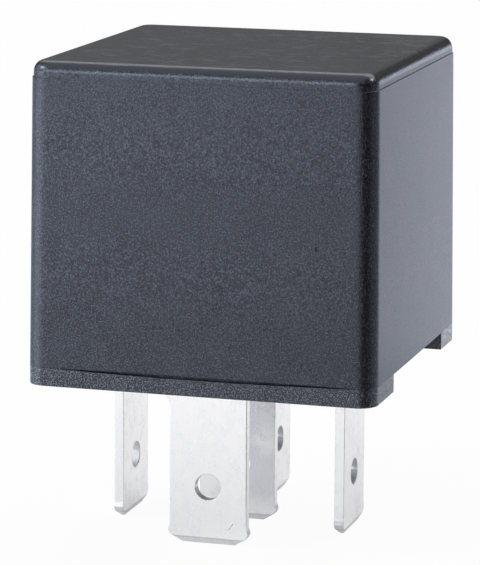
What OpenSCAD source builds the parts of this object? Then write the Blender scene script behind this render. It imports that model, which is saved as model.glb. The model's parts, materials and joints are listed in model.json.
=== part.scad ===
// Five-blade changeover relay in a square plug-in case.
// Z = 0 is at the blade tips, +Z points to the top of the case, -Y is the front.

/* [Case] */
// Width of the case along X
body_w = 28; // [27:0.1:30]
// Depth of the case along Y
body_d = 28; // [27:0.1:30]
// Height of the cover above the seam
cover_h = 23.9; // [23.8:0.1:26]
// Radius of the upright edges of the case
corner_r = 1.5; // [1:0.1:2.5]
// Radius round the top of the cover
top_edge_r = 0.9; // [0.5:0.1:1.4]
// Thickness of the cover's side walls
cover_wall = 1.1; // [0.8:0.05:1.2]
// Radius of the upright edges inside the cover
cavity_r = 1.2; // [0.6:0.1:1.6]
// Thickness of the cover's top
cover_top = 1.2; // [0.8:0.1:1.3]
// How far each side leans in from the seam to the top
draft = 0.28; // [0:0.02:0.3]
// Distance of the mould line below the top
mould_line_drop = 1.3; // [1.1:0.1:4]
// Step at the mould line
mould_step = 0.07; // [0.02:0.01:0.15]

/* [Base] */
// Height of the rails under the base
rail_h = 1.45; // [0.8:0.05:3]
// Depth of the front rail along Y
front_rail_d = 6.4; // [5.6:0.1:8]
// Depth of the back rail along Y
back_rail_d = 5.4; // [4.5:0.1:7]
// Thickness of the base plate, from the seam up
base_t = 2.65; // [2.5:0.05:3]
// Recess of the floor between the rails above the seam
floor_recess = 0.3; // [0.1:0.05:0.5]
// Gap between the base and the inside of the cover
base_gap = 0.1; // [0.05:0.01:0.2]
// Greatest height of the gap at the front seam
seam_gap = 0.2; // [0.1:0.01:0.35]
// How deep the front seam gap runs in
seam_gap_depth = 0.5; // [0.3:0.05:0.9]
// How far the latch noses stand out of the base
latch_out = 0.35; // [0.2:0.05:0.5]
// Width of a latch nose
latch_w = 4; // [2:0.5:6]
// Height of a latch nose
latch_h = 0.9; // [0.6:0.1:1]
// Distance of the latch noses' middle below the top of the base plate
latch_drop = 1.1; // [1:0.1:1.4]
// Room above and below a latch nose in its window
latch_gap = 0.2; // [0.1:0.05:0.3]
// Diameter of the vent in the floor
vent_d = 1.4; // [0.8:0.1:2]
// X of the vent
vent_x = 5; // [4:0.1:6]
// Distance of the vent behind the middle row
vent_back = 5.5; // [5:0.1:6]
// Plastic round a strip in its tower on the base
tower_t = 1; // [0.8:0.1:1.2]
// Height of the towers
tower_h = 2.3; // [1.5:0.1:2.4]

/* [Blades] */
// Free length of the blades below the rails
blade_out = 12.8; // [11:0.1:14]
// Width of a blade
blade_w = 6.3; // [6.2:0.05:6.4]
// Thickness of a blade and of the strip behind it
blade_t = 0.8; // [0.77:0.01:0.84]
// Width of the chamfer at each tip corner
tip_chamfer_w = 1; // [0.5:0.1:1.5]
// Height of the chamfer at each tip corner
tip_chamfer_h = 0.8; // [0.4:0.1:1.5]
// Width of the bevel on each face of the tip
tip_bevel_w = 0.25; // [0.1:0.01:0.35]
// Height of the bevel on each face of the tip
tip_bevel_h = 0.5; // [0.2:0.05:1]
// How far the pressed tip spreads past each side of the blade
tip_spread = 0.15; // [0:0.01:0.2]
// Rounding between the chamfer and the side of the tip
tip_round = 0.15; // [0.05:0.05:0.3]
// Height over which the spread tip runs out into the blade's side
tip_taper = 0.5; // [0.3:0.1:1]
// Diameter of the detent hole
hole_d = 2.1; // [1.6:0.1:2.4]
// Height of the detent hole above the tip
hole_up = 4.6; // [3.5:0.1:5.5]
// Gap between a strip and its slot in the base
slot_gap = 0.03; // [0.01:0.01:0.06]
// Widening of the front blade at its root, on the left
root_flare = 0.9; // [0.2:0.1:1]
// How far that widening reaches below the rail before its fillet
root_drop = 0.7; // [0:0.1:1.2]
// Radius of the fillet under it
root_r = 1.1; // [0.8:0.1:2]

/* [Blade positions] */
// X of the front and the middle blade
middle_x = -0.3; // [-0.6:0.1:0.6]
// X of the back blade
back_x = 0.3; // [-0.6:0.1:0.6]
// X of the left coil blade
left_x = -9.45; // [-9.8:0.05:-9]
// X of the right coil blade
right_x = 8.95; // [8.8:0.05:9.8]
// Distance of the middle row, both coil blades and the middle blade, from the back of the case
row_from_back = 15.4; // [15.2:0.1:15.6]
// Distance from the middle row to the front blade
front_pitch = 8.1; // [8:0.05:8.3]
// Distance from the middle row to the back blade
back_pitch = 8.7; // [8.5:0.1:9]

/* [Strips inside the case] */
// Width of the front blade's strip and of the shelf on it
shelf_w = 4.6; // [4:0.1:5]
// Distance of the contacts' axis behind the front strip
contact_setback = 1.1; // [1:0.1:1.2]
// Metal left round a contact on its strip
contact_rim = 0.2; // [0.1:0.05:0.3]
// Plastic under the middle blade's run in the base
run_cover = 0.6; // [0.5:0.05:0.8]
// Distance of that run behind the front blade
run_clear = 1; // [0.8:0.1:1.2]
// Distance of the riser beside the front blade
riser_out = 1.4; // [1.2:0.1:1.6]
// Width of the riser that carries the upper contact
riser_w = 3.4; // [3:0.1:3.6]
// Width of the back blade's tab under the yoke
tab_w = 5.6; // [5:0.1:6]
// Length of that tab
tab_l = 5.4; // [5:0.1:6]
// Height of the coil blades' full width above the yoke's foot
post_up = 3; // [2.6:0.1:3.4]
// Width of the narrow end of a coil blade
post_w = 2.4; // [1.6:0.1:3]
// Height of that narrow end
post_h = 2.4; // [1:0.1:3]

/* [Magnet] */
// Thickness of the iron yoke
yoke_t = 1.6; // [1.2:0.1:1.8]
// Width of the yoke
yoke_w = 14; // [13:0.1:15]
// Air between the spring's rivets on the yoke and the cover
back_air = 0.52; // [0.3:0.02:0.6]
// Inside radius of the yoke's fold
yoke_fold_r = 0.4; // [0.3:0.1:0.5]
// How far the yoke's foot stays short of the flange's front edge
foot_setback = 0.4; // [0.3:0.1:1]
// Gap between the bobbin's flanges and the yoke's leg
leg_gap = 0.6; // [0.4:0.1:0.8]
// Diameter of the iron core
core_d = 5; // [4:0.1:5.4]
// Diameter of the pole face
pole_d = 8.4; // [7:0.1:10]
// Thickness of the pole face
pole_t = 1.2; // [0.8:0.1:1.4]
// Diameter of the core's riveted end in the yoke
core_rivet_d = 4; // [3:0.1:4.4]
// Width of the rim that is riveted over under the yoke
core_rim = 0.6; // [0.4:0.1:0.8]
// Thickness of that rim
core_rim_t = 0.45; // [0.3:0.05:0.5]
// Air round the riveted end in its pocket in the base
pocket_gap = 0.1; // [0.05:0.05:0.2]
// Air between the upper contact's finger and the inside of the cover's top
top_air = 0.81; // [0.6:0.01:1.2]
// Thickness of the bobbin's flanges
flange_t = 0.9; // [0.6:0.1:1.2]
// Wall of the bobbin's tube
bobbin_wall = 0.75; // [0.5:0.05:1]
// Gap between the core and the bobbin
core_gap = 0.05; // [0.02:0.01:0.1]
// Diameter over the coil's turns
winding_d = 13.4; // [12:0.1:13.6]
// Diameter of one visible turn
turn_d = 0.36; // [0.2:0.02:0.5]
// Thickness of the tape round the coil
tape_t = 0.12; // [0.05:0.01:0.2]
// Bare turns above and below the tape
tape_margin = 1.3; // [0.8:0.1:2.5]

/* [Armature] */
// Thickness of the armature
armature_t = 1.5; // [1:0.1:1.6]
// Width of the armature over the coil
armature_w = 12.6; // [11:0.1:13.5]
// Width of the armature's tail between the yoke's ears
tail_w = 10.6; // [9:0.1:11]
// How far the tail's back edge sits in from the back of the yoke
tail_setback = 0.2; // [0.15:0.05:0.5]
// Gap between the tail and each ear of the yoke
tail_gap = 0.2; // [0.1:0.05:0.4]
// Height of the yoke's ears beside the tail
ear_h = 1; // [0.6:0.1:1.4]
// How far the armature reaches past the coil's axis to the front
armature_reach = 7; // [6:0.1:7.2]
// Angle that the armature swings through
swing = 2.5; // [1.5:0.1:2.6]
// Air left between the armature and the iron when it is pulled in
rest_air = 0.03; // [0.02:0.01:0.06]
// Distance of the armature's shoulders in front of the yoke's leg
shoulder_gap = 0.2; // [0.1:0.05:0.3]

/* [Spring and contacts] */
// Thickness of the leaf spring
spring_t = 0.25; // [0.15:0.01:0.3]
// Width of the leaf spring
spring_w = 6; // [5:0.1:7]
// Length of the spring's leg on the back of the yoke
spring_leg = 8; // [7:0.1:9]
// Radius of the spring's bend behind the armature
spring_bend_r = 0.9; // [0.7:0.05:1]
// Angle of that bend
spring_bend = 105; // [100:1:110]
// Height of the bend's centre above the spring on the armature
spring_hump = 0.35; // [0.2:0.05:0.5]
// Length of the spring's slope from the bend down to the armature
spring_slope = 3.6; // [3:0.1:4]
// How far the spring reaches past its contact
spring_end = 0.4; // [0.2:0.1:0.6]
// Diameter of the contacts
contact_d = 3.2; // [2.6:0.1:3.4]
// Thickness of a contact's head
contact_t = 0.7; // [0.6:0.05:0.75]
// Radius of the domed faces of the moving contact
dome_r = 6; // [4:0.5:12]
// Diameter of a contact's stem
stem_d = 1.6; // [1.2:0.1:2]
// Air between two contacts that meet
contact_air = 0.02; // [0.01:0.01:0.04]
// Diameter of the spring's rivets
rivet_d = 1.6; // [1.2:0.1:2]
// Diameter of the rivets' heads
rivet_head_d = 2.8; // [2.4:0.1:3]
// Thickness of the rivets' heads
rivet_head_t = 0.45; // [0.3:0.05:0.5]
// Height of the lower rivet above the spring's lower end
yoke_rivet_up = 2.2; // [1.8:0.1:2.4]
// Distance between the two rivets on the yoke
yoke_rivet_pitch = 2.8; // [2.8:0.1:3.2]
// Distance of each rivet on the armature from its middle line
armature_rivet_x = 1.6; // [1.4:0.1:1.6]
// Distance of those rivets behind the coil's axis
armature_rivet_back = 3.2; // [2.8:0.1:3.4]

/* [Coil circuit] */
// Diameter of the coil's lead-out wires
lead_d = 0.3; // [0.2:0.02:0.4]
// Distance of the lead-out wires in front of the coil's axis
lead_front = 2.6; // [2:0.1:3]
// Diameter of a solder joint
solder_d = 1.2; // [0.9:0.1:1.6]
// Diameter of the resistor's body
resistor_d = 2.3; // [1.8:0.1:2.4]
// Length of the resistor's body
resistor_l = 6.2; // [5:0.1:7]
// Air between the resistor and the strip in front of it, and the flange behind it
resistor_side_air = 0.6; // [0.4:0.05:0.8]
// Rounding of the resistor's ends
resistor_end_r = 0.5; // [0.2:0.1:0.8]
// Air under the resistor, above the towers
resistor_air = 0.1; // [0.1:0.05:0.3]
// Diameter of the resistor's wires
resistor_wire_d = 0.5; // [0.4:0.02:0.6]

/* [Hidden] */
$fn = 64;
eps = 0.01;                                   // overlap of two shapes that are joined
over = 1;                                     // how far a cutting shape runs past a solid
round_fn = 32;                                // facets round the cover's blended edges

// Levels
rail_z = blade_out;                           // underside of the rails
seam_z = rail_z + rail_h;                     // lower edge of the cover
floor_z = seam_z + floor_recess;              // underside of the base plate
deck_z = seam_z + base_t;                     // top of the base plate
slot_top_z = deck_z + 3 * tower_h;            // above every tower
top_z = seam_z + cover_h;
ceiling_z = top_z - cover_top;
bobbin_z = deck_z + yoke_t;                   // the bobbin stands on the yoke's foot
finger_z = ceiling_z - top_air - blade_t;     // underside of the finger over the contacts
closed_face_z = finger_z - contact_t;         // face of the upper contact

// Plan positions
row_y = body_d / 2 - row_from_back;
front_y = row_y - front_pitch;
back_y = row_y + back_pitch;
back_wall_y = body_d / 2 - cover_wall - draft;    // inside of the cover's back wall, at its top
leg_back_y = back_wall_y - back_air - rivet_head_t - spring_t;
leg_y = leg_back_y - yoke_t;                  // front face of the yoke's leg
resistor_y = front_y + blade_t / 2 + resistor_side_air + resistor_d / 2;
flange_front_y = resistor_y + resistor_d / 2 + resistor_side_air;
flange_d = leg_y - leg_gap - flange_front_y;  // the flanges fill the room between resistor and leg
coil_y = leg_y - leg_gap - flange_d / 2;      // axis of the coil
hinge_y = leg_back_y - tail_setback;          // the armature rocks on its tail's lower back edge
armature_front_y = coil_y - armature_reach;
plug_w = body_w - 2 * (cover_wall + base_gap);
plug_d = body_d - 2 * (cover_wall + base_gap);
plug_r = cavity_r - base_gap;
latch_z = deck_z - latch_drop;

// Contacts: both heads of the moving contact are domes on one stem. Raised by the swing,
// the upper dome meets the upper contact, which sets the hinge's level and the bobbin's height.
contact_y = front_y + blade_t / 2 + contact_setback;
high_dome_up = armature_t + spring_t + contact_t - dome_r;   // its centre over the hinge's level
swing_up = (hinge_y - contact_y) * sin(swing) + high_dome_up * cos(swing) + dome_r;
hinge_z = closed_face_z - contact_air - swing_up;
iron_z = hinge_z - rest_air;                  // pole face and top of the yoke's leg
pole_z = iron_z - pole_t;                     // underside of the pole face
bobbin_h = pole_z - bobbin_z;
spring_z = hinge_z + armature_t;              // underside of the spring, armature pulled in
low_dome_z = spring_z - contact_t + dome_r;
high_dome_z = hinge_z + high_dome_up;
open_face_z = low_dome_z - dome_r - contact_air;
shelf_z = open_face_z - contact_t;            // top of the shelf under the lower contact

// Strips inside the case
rim_y = contact_y + contact_d / 2 + contact_rim;  // back edge of the shelf and of the finger
run_z = floor_z + run_cover;                  // underside of the middle blade's run in the base
run_front_y = front_y + blade_t / 2 + run_clear;
riser_x = middle_x + blade_w / 2 + riser_out; // left edge of the riser
riser_mid_x = riser_x + riser_w / 2;
tab_y = back_y + blade_w / 2 - tab_w;         // front edge of the back blade's tab
post_z = bobbin_z + post_up;                  // top of the coil blades' full width

// Rivets and spring
spring_low_z = iron_z - spring_leg;
spring_rivet_z = [spring_low_z + yoke_rivet_up, spring_low_z + yoke_rivet_up + yoke_rivet_pitch];
armature_rivet_y = coil_y + armature_rivet_back;
spring_front_y = contact_y - contact_d / 2 - spring_end;
bend_fn = 12;                                 // steps round the spring's bend
core_head_d = core_rivet_d + 2 * core_rim;    // riveted end under the yoke's foot
ear_x = tail_w / 2 + tail_gap;                // inner face of the yoke's ears

// Coil circuit
winding_z = bobbin_z + flange_t;
winding_h = bobbin_h - 2 * flange_t;
turns = floor(winding_h / turn_d);
lead_z = winding_z + tape_margin / 2;
lead_y = coil_y - lead_front;
resistor_z = deck_z + tower_h + resistor_air + resistor_d / 2;

// ---------- shared shapes ----------

// Rectangle with rounded corners, centred.
module rounded_rect(w, d, r) {
    square([w - 2 * r, d], center = true);
    square([w, d - 2 * r], center = true);
    for (sx = [-1, 1], sy = [-1, 1])
        translate([sx * (w / 2 - r), sy * (d / 2 - r)]) circle(r);
}

// Slab of the base plate's outline, which fits inside the cover.
module plug_slab(low_z, high_z) {
    translate([0, 0, low_z]) linear_extrude(height = high_z - low_z) rounded_rect(plug_w, plug_d, plug_r);
}

// Box from its low corner and its high corner.
module span(low, high) {
    translate(low) cube(high - low);
}

// Outline of a blade seen on its wide face: chamfered, slightly spread tip at Z = 0.
module blade_outline(length) {
    half = blade_w / 2;
    right = [
        [half - tip_chamfer_w, 0],
        [half + tip_spread - tip_round, tip_chamfer_h - tip_round],
        [half + tip_spread, tip_chamfer_h + tip_round],
        [half, tip_chamfer_h + tip_round + tip_taper],
        [half, length]
    ];
    left = [for (i = [len(right) - 1 : -1 : 0]) [-right[i][0], right[i][1]]];
    polygon(concat(right, left));
}

// Edge-on outline of a blade: bevelled tip.
module blade_edge(length) {
    half = blade_t / 2;
    polygon([
        [half - tip_bevel_w, 0], [half, tip_bevel_h], [half, length],
        [-half, length], [-half, tip_bevel_h], [-half + tip_bevel_w, 0]
    ]);
}

// Blade with its wide faces towards front and back, its tip at Z = 0 and its detent hole.
module blade(length) {
    reach = blade_w;
    difference() {
        intersection() {
            rotate([90, 0, 0]) linear_extrude(height = reach, center = true) blade_outline(length);
            rotate([90, 0, 90]) linear_extrude(height = 2 * reach, center = true) blade_edge(length);
        }
        translate([0, 0, hole_up]) rotate([90, 0, 0])
            cylinder(h = reach, d = hole_d, center = true);
    }
}

// Blade with its wide faces towards left and right.
module side_blade(length) {
    rotate([0, 0, 90]) blade(length);
}

// Section of a strip for a slot, grown by the slot's gap.
module strip_slot(w, d, low_z, high_z) {
    translate([-w / 2 - slot_gap, -d / 2 - slot_gap, low_z])
        cube([w + 2 * slot_gap, d + 2 * slot_gap, high_z - low_z]);
}

// Wire between two points, with a round joint at its start.
module wire(from, to, d) {
    run = to - from;
    length = norm(run);
    translate(from) {
        rotate([0, acos(run[2] / length), atan2(run[1], run[0])])
            cylinder(h = length, d = d, $fn = 24);
        sphere(d = d, $fn = 24);
    }
}

// Moves the armature's group from pulled in to its place at rest.
module at_rest() {
    translate([0, hinge_y, hinge_z]) rotate([-swing, 0, 0])
        translate([0, -hinge_y, -hinge_z]) children();
}

// Contact head with a flat face, its underside at Z = 0.
module contact_head() {
    cylinder(h = contact_t, d = contact_d);
}

// ---------- case ----------

// The four corners of the case at one level, leaned in by inset.
module corner_discs(z, inset, r) {
    for (sx = [-1, 1], sy = [-1, 1])
        translate([sx * (body_w / 2 - inset - r), sy * (body_d / 2 - inset - r), z])
            cylinder(h = eps, r = r, $fn = round_fn);
}

// The four top corners of the case, rounded over.
module corner_caps(inset) {
    for (sx = [-1, 1], sy = [-1, 1])
        translate([sx * (body_w / 2 - inset - corner_r), sy * (body_d / 2 - inset - corner_r),
                   top_z - top_edge_r])
            rotate_extrude($fn = round_fn) {
                square([corner_r - top_edge_r, top_edge_r]);
                translate([corner_r - top_edge_r, 0]) intersection() {
                    circle(top_edge_r);
                    square(top_edge_r);
                }
            }
}

module cover() {
    line_z = top_z - mould_line_drop;
    line_draft = draft * (line_z - seam_z) / cover_h;
    window = [2 * (latch_out + 2 * base_gap), latch_w + over, latch_h + 2 * latch_gap];
    color([0.19, 0.21, 0.24]) difference() {
        union() {
            hull() {
                corner_discs(seam_z, 0, corner_r);
                corner_discs(line_z - eps, line_draft, corner_r);
            }
            hull() {
                corner_discs(line_z - eps, line_draft + mould_step, corner_r);
                corner_caps(draft + mould_step);
            }
        }
        hull() {
            corner_discs(seam_z - eps, cover_wall, cavity_r);
            corner_discs(ceiling_z - eps, cover_wall + draft, cavity_r);
        }
        for (side = [-1, 1])
            translate([side * plug_w / 2, 0, latch_z]) cube(window, center = true);
    }
}

// One rail: the case's full outline, kept between two Y values.
module rail(low_y, high_y) {
    intersection() {
        translate([0, 0, rail_z]) linear_extrude(height = rail_h) rounded_rect(body_w, body_d, corner_r);
        span([-body_w, low_y, rail_z - over], [body_w, high_y, seam_z + over]);
    }
}

// Wedge-shaped latch nose, its ramp facing up.
module latch_nose() {
    half = latch_h / 2;
    rotate([90, 0, 0]) linear_extrude(height = latch_w, center = true)
        polygon([[-half, -half], [latch_out, -half], [latch_out, 0], [0, half], [-half, half]]);
}

// Shallow lens-shaped gap along the top of the front rail.
module seam_relief() {
    half = body_w / 2 - corner_r;
    r = (half * half + seam_gap * seam_gap) / (2 * seam_gap);
    translate([0, -body_d / 2 + seam_gap_depth, seam_z + r - seam_gap]) rotate([90, 0, 0])
        cylinder(h = seam_gap_depth + over, r = r, $fn = 256);
}

module base_solid() {
    rail(-body_d / 2, -body_d / 2 + front_rail_d);
    rail(body_d / 2 - back_rail_d, body_d / 2);
    plug_slab(floor_z, deck_z);
    intersection() {
        plug_slab(rail_z, deck_z);
        union() {
            span([-body_w, -body_d, rail_z], [body_w, -body_d / 2 + front_rail_d, floor_z + eps]);
            span([-body_w, body_d / 2 - back_rail_d, rail_z], [body_w, body_d, floor_z + eps]);
        }
    }
    for (side = [0, 180])
        rotate([0, 0, side]) translate([plug_w / 2, 0, latch_z]) latch_nose();
    intersection() {
        towers();
        plug_slab(deck_z - over, slot_top_z);
    }
}

// Block round a strip of w by d that stands up out of the deck.
module tower(x, y, w, d, h) {
    translate([x, y, deck_z + h / 2]) cube([w + 2 * tower_t, d + 2 * tower_t, h], center = true);
}

module towers() {
    for (x = [left_x, right_x])
        tower(x, row_y, blade_t, blade_w, tower_h);
    tower(middle_x, front_y, blade_w, blade_t, tower_h);
    tower(riser_mid_x, front_y, riser_w, blade_t, 2 * tower_h);
}

module base() {
    slot_low_z = rail_z - over;
    color([0.17, 0.18, 0.2]) difference() {
        base_solid();
        seam_relief();
        // blade slots
        translate([middle_x, front_y, 0]) strip_slot(blade_w, blade_t, slot_low_z, slot_top_z);
        translate([middle_x - root_flare, front_y, 0]) strip_slot(blade_w, blade_t, slot_low_z, floor_z);
        translate([middle_x, row_y, 0]) strip_slot(blade_w, blade_t, slot_low_z, deck_z + over);
        translate([back_x, back_y, 0]) strip_slot(blade_t, blade_w, slot_low_z, deck_z + over);
        for (x = [left_x, right_x])
            translate([x, row_y, 0]) strip_slot(blade_t, blade_w, slot_low_z, slot_top_z);
        // channel for the middle blade's run, open to the deck, and slot for its riser
        run_cut(slot_gap, run_z - slot_gap, deck_z + over);
        translate([riser_mid_x, front_y, 0]) strip_slot(riser_w, blade_t, run_z - slot_gap, slot_top_z);
        // pocket for the back blade's tab
        span([back_x - blade_t / 2 - slot_gap, tab_y - slot_gap, deck_z - blade_t],
             [back_x - blade_t / 2 + tab_l + slot_gap, tab_y + tab_w + slot_gap, deck_z + over]);
        // pocket for the core's riveted end
        translate([0, coil_y, deck_z - core_rim_t - pocket_gap])
            cylinder(h = core_rim_t + over, d = core_head_d + 2 * pocket_gap);
        // vent
        translate([vent_x, row_y + vent_back, floor_z - over]) cylinder(h = base_t + 2 * over, d = vent_d);
    }
}

// ---------- blades and strips ----------

// Plan of the middle blade's run to its riser, grown by gap.
module run_cut(gap, low_z, high_z) {
    right_x = riser_x + riser_w;
    span([middle_x - blade_w / 2 - gap, run_front_y - gap, low_z],
         [middle_x + blade_w / 2 + gap, row_y + blade_t / 2 + gap, high_z]);
    span([middle_x, run_front_y - gap, low_z], [right_x + gap, run_front_y + riser_w + gap, high_z]);
    span([riser_x - gap, front_y - blade_t / 2 - gap, low_z], [right_x + gap, run_front_y + over, high_z]);
}

// Cutter that rounds the outer edge of a fold along X, at the strip's front top edge.
module fold_corner(r) {
    rotate([90, 0, 90]) linear_extrude(height = 2 * body_w, center = true) difference() {
        translate([-over, -r]) square([over + r, r + over]);
        translate([r, -r]) circle(r);
    }
}

// Bore for a contact's stem, through what lies at this height.
module stem_bore(z) {
    translate([middle_x, contact_y, z - over]) cylinder(h = 2 * over, d = stem_d);
}

module terminal_87() {
    strip_y = front_y - blade_t / 2;
    back_of_strip_y = strip_y + blade_t;
    tower_z = deck_z + tower_h;
    root_z = rail_z - root_drop;
    color([0.86, 0.87, 0.89]) difference() {
        union() {
            translate([middle_x, front_y, 0]) blade(tower_z);
            span([middle_x - shelf_w / 2, strip_y, tower_z],
                 [middle_x + shelf_w / 2, back_of_strip_y, shelf_z]);
            span([middle_x - shelf_w / 2, strip_y, shelf_z - blade_t],
                 [middle_x + shelf_w / 2, rim_y, shelf_z]);
            // root that widens to the left
            difference() {
                span([middle_x - blade_w / 2 - root_flare, strip_y, root_z - root_r],
                     [middle_x, back_of_strip_y, floor_z]);
                translate([middle_x - blade_w / 2 - root_r, front_y, root_z - root_r])
                    rotate([90, 0, 0]) cylinder(h = blade_t + over, r = root_r, center = true);
            }
        }
        translate([0, strip_y, shelf_z]) fold_corner(blade_t);
        stem_bore(shelf_z);
    }
}

module terminal_87a() {
    strip_y = front_y - blade_t / 2;
    finger_top_z = finger_z + blade_t;
    finger_left_x = middle_x - contact_d / 2 - contact_rim;
    color([0.86, 0.87, 0.89]) difference() {
        union() {
            translate([middle_x, row_y, 0]) blade(run_z + blade_t);
            run_cut(0, run_z, run_z + blade_t);
            span([riser_x, strip_y, run_z], [riser_x + riser_w, strip_y + blade_t, finger_top_z]);
            span([finger_left_x, strip_y, finger_z], [riser_x + riser_w, rim_y, finger_top_z]);
        }
        translate([0, strip_y, finger_top_z]) fold_corner(blade_t);
        // the blade's own fold into the run
        translate([0, row_y + blade_t / 2, run_z + blade_t]) mirror([0, 1, 0]) fold_corner(blade_t);
        stem_bore(finger_z);
    }
}

module terminal_30() {
    strip_x = back_x - blade_t / 2;
    color([0.86, 0.87, 0.89]) difference() {
        union() {
            translate([back_x, back_y, 0]) side_blade(deck_z - blade_t);
            span([strip_x, tab_y, deck_z - blade_t - eps], [strip_x + blade_t, tab_y + tab_w, deck_z]);
            span([strip_x, tab_y, deck_z - blade_t], [strip_x + tab_l, tab_y + tab_w, deck_z]);
        }
        // rounded fold into the tab
        translate([strip_x, 0, deck_z]) rotate([0, 0, -90]) fold_corner(blade_t);
    }
}

// Coil blade: full width up to the solder joints, then a narrow post.
module coil_blade(x) {
    color([0.86, 0.87, 0.89]) translate([x, row_y, 0]) {
        side_blade(post_z);
        translate([-blade_t / 2, -post_w / 2, post_z - eps]) cube([blade_t, post_w, post_h]);
    }
}

module terminal_85() {
    coil_blade(right_x);
}

module terminal_86() {
    coil_blade(left_x);
}

// ---------- magnet ----------

// L-shaped section of the yoke: its foot on the base, its leg behind the coil.
module yoke_section() {
    fold_r = yoke_t + yoke_fold_r;
    foot_front_y = flange_front_y + foot_setback;
    difference() {
        union() {
            translate([foot_front_y, deck_z]) square([leg_back_y - foot_front_y, yoke_t]);
            translate([leg_y, deck_z]) square([yoke_t, iron_z - deck_z]);
        }
        // outside of the fold
        translate([leg_back_y - fold_r, deck_z]) difference() {
            translate([0, -over]) square(fold_r + over);
            translate([0, fold_r]) circle(fold_r);
        }
    }
}

module yoke() {
    color([0.62, 0.63, 0.62]) difference() {
        union() {
            rotate([90, 0, 90]) linear_extrude(height = yoke_w, center = true) yoke_section();
            // ears beside the armature's tail
            for (side = [0, 1])
                mirror([side, 0, 0])
                    span([ear_x, leg_y, iron_z - over], [yoke_w / 2, leg_back_y, iron_z + ear_h]);
        }
        translate([0, coil_y, deck_z - over]) cylinder(h = yoke_t + 2 * over, d = core_rivet_d);
        for (z = spring_rivet_z)
            translate([0, leg_y - over, z]) rotate([-90, 0, 0])
                cylinder(h = yoke_t + 2 * over, d = rivet_d);
    }
}

module core() {
    color([0.68, 0.69, 0.7]) translate([0, coil_y, 0]) {
        translate([0, 0, deck_z - core_rim_t]) cylinder(h = core_rim_t, d = core_head_d);
        translate([0, 0, deck_z - eps]) cylinder(h = yoke_t + 2 * eps, d = core_rivet_d);
        translate([0, 0, bobbin_z]) cylinder(h = bobbin_h + eps, d = core_d);
        translate([0, 0, pole_z]) cylinder(h = pole_t, d = pole_d);
    }
}

module bobbin() {
    bore = core_d + 2 * core_gap;
    color([0.12, 0.12, 0.13]) translate([0, coil_y, bobbin_z]) difference() {
        union() {
            cylinder(h = flange_t, d = flange_d);
            translate([0, 0, bobbin_h - flange_t]) cylinder(h = flange_t, d = flange_d);
            cylinder(h = bobbin_h, d = bore + 2 * bobbin_wall);
        }
        translate([0, 0, -over]) cylinder(h = bobbin_h + 2 * over, d = bore);
    }
}

module coil_winding() {
    inner = core_d / 2 + core_gap + bobbin_wall;
    turn_r = turn_d / 2;
    outer = winding_d / 2 - turn_r;
    pitch = winding_h / turns;
    color([0.72, 0.38, 0.2]) translate([0, coil_y, winding_z]) rotate_extrude() {
        translate([inner, 0]) square([outer - inner, winding_h]);
        for (turn = [0 : turns - 1])
            translate([outer, (turn + 0.5) * pitch]) circle(turn_r, $fn = 16);
    }
}

module coil_tape() {
    h = winding_h - 2 * tape_margin;
    color([0.85, 0.7, 0.2]) translate([0, coil_y, winding_z + tape_margin]) difference() {
        cylinder(h = h, d = winding_d + 2 * tape_t);
        translate([0, 0, -over]) cylinder(h = h + 2 * over, d = winding_d);
    }
}

// Lead-out wire from the turns to the inner face of a coil blade, with its solder joint.
module coil_lead(side, face_x) {
    start_r = (winding_d + lead_d) / 2;
    start_x = side * sqrt(pow(start_r, 2) - pow(lead_y - coil_y, 2));
    color([0.72, 0.38, 0.2]) {
        wire([start_x, lead_y, lead_z], [face_x, lead_y, lead_z], lead_d);
        intersection() {
            translate([face_x, lead_y, lead_z]) sphere(d = solder_d);
            translate([face_x - side * solder_d / 2, lead_y, lead_z]) cube(solder_d, center = true);
        }
    }
}

module coil_lead_85() {
    coil_lead(1, right_x - blade_t / 2);
}

module coil_lead_86() {
    coil_lead(-1, left_x + blade_t / 2);
}

// ---------- suppression resistor ----------

module resistor_body() {
    end_r = resistor_end_r;
    color([0.2, 0.45, 0.6]) translate([0, resistor_y, resistor_z]) rotate([0, 90, 0])
        translate([0, 0, -resistor_l / 2]) rotate_extrude() {
            square([resistor_d / 2 - end_r, resistor_l]);
            translate([0, end_r]) square([resistor_d / 2, resistor_l - 2 * end_r]);
            for (z = [end_r, resistor_l - end_r])
                translate([resistor_d / 2 - end_r, z]) circle(end_r);
        }
}

module resistor_wires() {
    edge_y = row_y - blade_w / 2;
    ends = [[-1, left_x], [1, right_x]];
    color([0.8, 0.8, 0.82]) for (end = ends) {
        corner = [end[1], resistor_y, resistor_z];
        joint = [end[1], edge_y, resistor_z];
        wire(corner, [end[0] * resistor_l / 2, resistor_y, resistor_z], resistor_wire_d);
        wire(corner, joint, resistor_wire_d);
        intersection() {
            translate(joint) sphere(d = blade_t);
            translate(joint - [0, blade_t / 2, 0]) cube(blade_t, center = true);
        }
    }
}

// ---------- contacts and armature ----------

module normally_open_contact() {
    color([0.82, 0.82, 0.8]) translate([middle_x, contact_y, 0]) {
        translate([0, 0, shelf_z]) contact_head();
        translate([0, 0, shelf_z - blade_t]) cylinder(h = blade_t + eps, d = stem_d);
    }
}

module normally_closed_contact() {
    color([0.82, 0.82, 0.8]) translate([middle_x, contact_y, 0]) {
        translate([0, 0, closed_face_z]) contact_head();
        translate([0, 0, finger_z - eps]) cylinder(h = blade_t + eps, d = stem_d);
    }
}

// Domed head from the spring's face to the top of the dome, the dome's centre at dome_z.
module domed_head(face_z, dome_z) {
    intersection() {
        translate([0, 0, face_z - contact_t]) cylinder(h = 2 * contact_t, d = contact_d);
        translate([0, 0, dome_z]) sphere(r = dome_r, $fn = 128);
    }
}

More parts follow.
